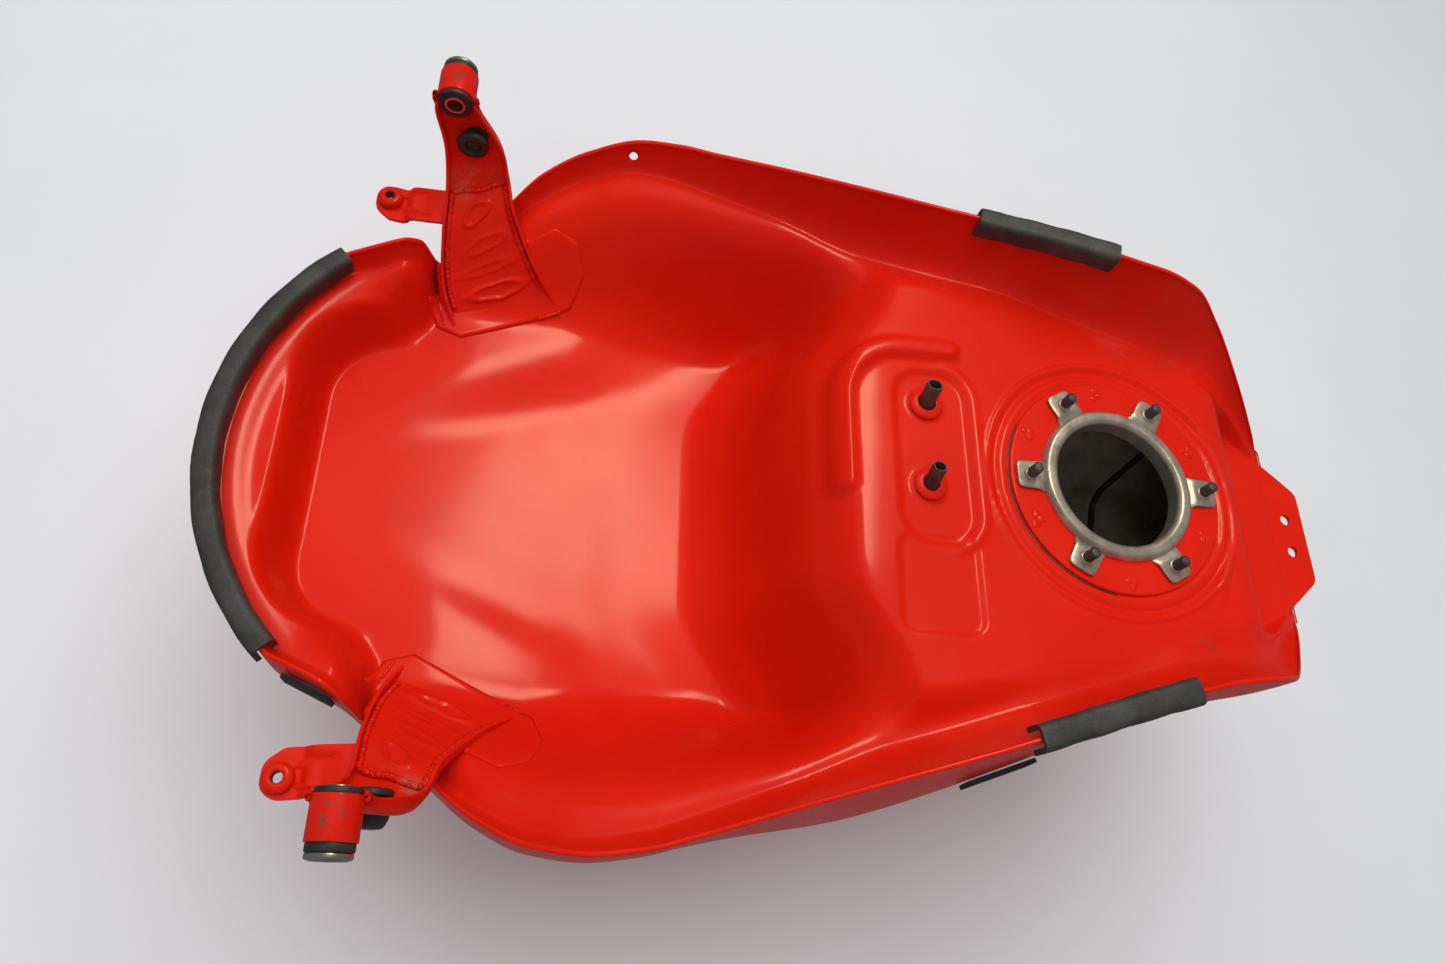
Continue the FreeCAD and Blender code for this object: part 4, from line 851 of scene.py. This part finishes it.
def build_pump():
    """The pump's rim with its six ears and studs, the seat plate, and the bead seen inside."""
    rim = rounded([(36, -9), (37.2, -9), (37.4, -1.2), (38.2, 0.2), (41.8, 0.2), (43.2, -1),
                   (43.2, -3), (44.2, -3), (44.2, -0.6), (42.6, 2.0), (38.0, 2.2), (36, 0.4)],
                  [0.5, 0.3, 0.8, 0.8, 0.8, 0.8, 0.3, 0.3, 1.4, 2.2, 2.2, 1.6], 5)
    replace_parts(lathe("pump_rim", rim, (0, 0, 0), UP, "bare_steel", 160), "pump_ring")
    v = np.linspace(-1, 1, 13)
    for i in range(6):
        c, n = math.cos(math.radians(60 * i)), math.sin(math.radians(60 * i))
        top = np.array([np.stack((r * c - v * w * n, r * n + v * w * c, h - 0.5 * np.abs(v) ** 6), axis=-1)
                        for r, h, w in EAR])
        ear = piece(f"pump_ear_{i}", top.reshape(-1, 3), grid_faces(*top.shape[:2]), "bare_steel",
                    closed=False)
        thicken(ear, 1.8)
        soften(ear, 0.35)
        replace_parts(ear, "pump_ring")
        build_stud(i, STUD_CIRCLE * c, STUD_CIRCLE * n)
    seat = rounded([(40, -3.8), (61.8, -3.8), (62.5, -2.9), (61.6, -2.0), (40, -2.0)],
                   [0.2, 0.4, 0.6, 0.8, 0.2], 4)
    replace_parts(lathe("pump_seat_plate", seat, (0, 0, 0), UP, "red_paint", 160), "pump_seat")
    # weld nuggets between the ears
    for i, angle in enumerate(np.radians([26, 92, 150, 205, 268, 331])):
        for j, (dr, da) in enumerate(((0, 0), (2.6, 0.045), (-1.8, 0.06))):
            r, a = 55.5 + dr + RNG.normal(0, 0.5), angle + da + RNG.normal(0, 0.012)
            size = 2.6 + RNG.uniform(-0.5, 0.6)
            nugget(f"seat_weld_{i}_{j}", (r * math.cos(a), r * math.sin(a), -2.0), size, 0.8)
    # the gap under the seat plate where the sealing bead stops short, drawn as a dark strip of painted shadow
    gap = [(63.0 * math.cos(a), 63.0 * math.sin(a), -3.9) for a in np.radians(np.linspace(150, 262, 40))]
    swept("seat_shadow_gap", gap, circle(0.45, 8), "dark_steel", slot="red_paint")
    # curved bead on the inside of the tank's top, seen through the opening
    skin = skin_points(np.linspace(0.5, 1, 200)[:, None] + np.zeros((1, 120)),
                       np.linspace(0, 1, 120)[None] + np.zeros((200, 1))).reshape(-1, 3)
    bead = []
    for x, y in smooth_path([(*point, 0) for point in INNER_BEAD], 8)[:, :2]:
        bead.append((x, y, skin[np.argmin(np.hypot(skin[:, 0] - x, skin[:, 1] - y)), 2] + 1.6))
    swept("inner_bead", bead, circle(2.0, 12), "dark_steel", slot="inner_steel")


def nugget(name, place, radius, rise):
    """A flattened blob of weld."""
    turn = np.linspace(0, 2 * math.pi, 14, endpoint=False)
    wobble = 1 + RNG.normal(0, 0.12, 14)
    x, y, z = place
    rows = [[(x, y, z + rise)] * 14]
    for share in (0.35, 0.65, 0.88, 1.0):
        reach = radius * share
        height = z + rise * math.sqrt(max(1 - share ** 2, 0)) - 0.1
        rows.append([(x + reach * w * math.cos(a), y + reach * w * math.sin(a), height)
                     for a, w in zip(turn, wobble)])
    return piece(name, np.array(rows).reshape(-1, 3), grid_faces(5, 14, wrap=True), "red_paint", closed=False)


def build_stud(number, x, y):
    """An M6 stud: plain foot, rolled thread with a 1 mm pitch, chamfered end."""
    turns, steps, top = 8, 28, 9.5
    angle = np.arange(turns * steps + 1) * 2 * math.pi / steps
    rows = []
    for radius, up in ((3.0, 0.0), (3.0, 0.12), (2.42, 0.5), (2.42, 0.62)):
        z = 0.6 + angle / (2 * math.pi) + up
        r = radius * (1 - 0.25 * ease(top - 1.2, top, z) - 0.12 * (1 - ease(0.6, 1.6, z)))
        rows.append(np.stack((x + r * np.cos(angle), y + r * np.sin(angle), np.minimum(z, top)), axis=-1))
    rows.append(rows[0] + UP)
    rows[-1][:, 2] = np.minimum(rows[-1][:, 2], top)
    thread = piece(f"stud_thread_{number}", np.array(rows).reshape(-1, 3),
                   grid_faces(5, len(angle))[:, ::-1], "dark_steel", closed=False)
    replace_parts(thread, "pump_studs")
    core = rounded([(0, -3), (2.5, -3), (2.5, 8.6), (1.9, 9.4), (0, 9.4)], [0, 0.2, 0.3, 0.3, 0], 3)
    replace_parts(lathe(f"stud_core_{number}", core, (x, y, 0), UP, "dark_steel", 32), "pump_studs")
    foot = rounded([(2.4, -0.4), (4.4, -0.4), (3.9, 0.9), (3.0, 1.5), (2.4, 1.5)], 0.5, 3)
    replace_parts(lathe(f"stud_foot_{number}", foot, (x, y, 0), UP, "bare_steel", 40), "pump_studs")


# each pipe: place on the pan, outer radius, and the points that its inner run passes
PIPES = {"breather": (-107, 37.5, 4.4, ((-100, 30, -150), (-170, 12, -200), (-186, 8, -214))),
         "drain": (-108, -10.4, 3.9, ((-112, -40, -130), (-178, -28, -205), (-196, -24, -222)))}


def build_pipes():
    """The breather and drain pipes, leaning out of their welded seats and running on inside."""
    lean = np.array((0, 4.5, 13.0))
    turn = np.linspace(0, 2 * math.pi, 36, endpoint=False)[:, None]
    for name, (x, y, outer, ends) in PIPES.items():
        base = np.array((x, y, -4.0))
        below = base - lean * (30 / np.linalg.norm(lean))
        upper = [below + (base + lean - below) * u for u in np.linspace(0, 1, 24)]
        lower = smooth_path([ends[2], ends[1], ends[0], below], 14)[:-1]
        path = np.vstack((lower, upper))
        heading = unit(np.gradient(path, axis=0))
        side_way = unit(np.cross(heading, (1.0, 0.2, 0.1)))
        other = np.cross(heading, side_way)
        # up the outside, where a rolled bead just under the mouth keeps the hose on, then down the bore
        back = np.linalg.norm(path[-1] - path, axis=1)
        outside = outer + 0.35 * np.exp(-((back - 2.6) / 0.9) ** 2) - 0.25 * np.exp(-(back / 0.5) ** 2)
        stations = list(enumerate(outside)) + [(k, outer - 1.0) for k in range(len(path) - 1, -1, -1)]
        rings = np.array([path[k] + r * (np.cos(turn) * side_way[k] + np.sin(turn) * other[k])
                          for k, r in stations])
        pipe = piece(name + "_pipe_bent", rings.reshape(-1, 3),
                     grid_faces(*rings.shape[:2], wrap=True), "dark_steel")
        sharpen(pipe, 60)
        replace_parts(pipe, name + "_pipe")
        seat = rounded([(outer + 0.6, -4.4), (outer + 5.4, -4.4), (outer + 4.4, -2.9),
                        (outer + 1.8, -2.1), (outer + 0.6, -2.2)], [0.2, 0.8, 1.6, 1.0, 0.3], 4)
        turned = lathe(name + "_seat_turned", seat, (x, y, 0), UP, "red_paint", 72)
        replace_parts(turned, name + "_pipe_seat")


# ================================================================ rubber trims, rear tab, pads
def trim_path(kind, side=1):
    """The edge that a trim sits on, and the outward direction along it."""
    if kind == "front":
        turn = math.asin(half_width(FRONT_X) / ARC_R) - math.radians(1)
        angle = np.linspace(-turn, turn, 90)
        path = np.stack((ARC_X - ARC_R * np.cos(angle), ARC_R * np.sin(angle), np.full(90, FRONT_Z)), axis=-1)
        return path, np.stack((-np.cos(angle), np.sin(angle), 0 * angle), axis=-1)
    x = np.linspace(-80, -6, 40)
    path = np.stack((x, side * half_width(x), edge_height(x)), axis=-1)
    return path, np.tile((0.22, side * 0.975, 0), (40, 1))


def build_trim(name, path, outward, section, node):
    """A grooved rubber edging: section is (outward, up) around the sheet edge."""
    rings = []
    for i, (point, out) in enumerate(zip(path, outward)):
        wave = 1 + 0.03 * math.sin(i * 0.55) + RNG.normal(0, 0.006)
        rings.append(point + wave * (section[:, :1] * out + section[:, 1:] * np.array(UP)))
    trim = loft(name, rings, "trim_rubber")
    sharpen(trim, 50)
    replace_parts(trim, node)


def build_trims():
    path, outward = trim_path("front")
    front = rounded([(-6.2, -7.5), (-6.2, 4.4), (5.8, 4.4), (5.8, -11),
                     (3, -11), (3, 1.8), (-3.4, 1.8), (-3.4, -7.5)],
                    [1.2, 4.6, 4.6, 1.2, 1.0, 0.6, 0.6, 1.0], 6)
    build_trim("front_rubber", path, outward, front, "front_edge_trim")
    rear = rounded([(-6.2, -8), (-6.2, 4.0), (6.6, 4.0), (6.6, -8),
                    (3.8, -8), (3.8, 1.8), (-3.4, 1.8), (-3.4, -8)],
                   [1.2, 4.4, 4.4, 1.2, 1.0, 0.6, 0.6, 1.0], 6)
    for side_name, side in SIDES:
        path, outward = trim_path("rear", side)
        build_trim("rear_rubber_" + side_name, path, outward, rear, "rear_edge_trim_" + side_name)


def build_tab():
    """The rear tab: a flat trapezoid with two open holes, welded on the pan's rear flange."""
    tab_z, hole_x, hole_y, hole_r = -45.15, 145.6, 10.4, 3.6
    outline = rounded([(128, -46), (136, -46.5), (157, -28.6), (157, 28.6), (136, 46.5), (128, 46)],
                      [1, 1, 4, 4, 1, 1], 4)
    curve = bpy.data.curves.new("tab_outline", "CURVE")
    curve.dimensions = "2D"
    curve.fill_mode = "BOTH"
    curve.extrude = 1.0 * MM
    curve.bevel_depth = 0.25 * MM
    curve.bevel_resolution = 2
    holes = [[(hole_x + hole_r * math.cos(a), y + hole_r * math.sin(a))
              for a in np.linspace(0, 2 * math.pi, 33)[:-1]] for y in (-hole_y, hole_y)]
    for loop in [outline.tolist(), *holes]:
        spline = curve.splines.new("POLY")
        spline.points.add(len(loop) - 1)
        for point, (px, py) in zip(spline.points, loop):
            point.co = (px * MM, py * MM, 0, 1)
        spline.use_cyclic_u = True
    maker = bpy.data.objects.new("tab_maker", curve)
    bpy.context.scene.collection.objects.link(maker)
    maker.location.z = tab_z * MM
    bpy.context.view_layer.update()
    flat = maker.evaluated_get(bpy.context.evaluated_depsgraph_get())
    mesh = bpy.data.meshes.new_from_object(flat)
    mesh.transform(maker.matrix_world)
    bpy.data.objects.remove(maker)
    mesh.materials.clear()
    mesh.materials.append(MATERIALS["red_paint"])
    tab = bpy.data.objects.new("rear_tab_plate", mesh)
    bpy.context.scene.collection.objects.link(tab)
    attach(tab, "tank")
    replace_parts(tab, "rear_tab")


# ================================================================ pieces whose CAD shape is kept
def dress_cad_nodes():
    """CAD nodes whose shape is right keep it, with soft edges and a proper finish."""
    slots = {part["node"]: part["material_slot"] for part in frame["record"]["subparts"]}
    for name, node in NODES.items():
        if node.hide_render:
            continue
        node.data.materials.clear()
        node.data.materials.append(MATERIALS[slots[name]])
        if name not in ("baffle", "filler_neck"):
            soften(node, 0.35, 2)


def make_floor():
    """A pale table top, level with the filler cap's face, that the paint does not mirror."""
    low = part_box("cap_ring")[0][2]
    bpy.ops.mesh.primitive_plane_add(size=14, location=(0, 0, low))
    floor = bpy.context.object
    floor.name = "floor"
    floor.data.materials.append(floor_material())
    floor.visible_glossy = False


make_camera()
make_studio()
make_floor()
build_pan()
build_skins()
for side_name, side in SIDES:
    build_bracket(side_name, side)
    build_foot_plate(side_name, side)
    build_stay(side_name, side)
    build_mount(side_name, side)
build_pump()
build_pipes()
build_trims()
build_tab()
dress_cad_nodes()
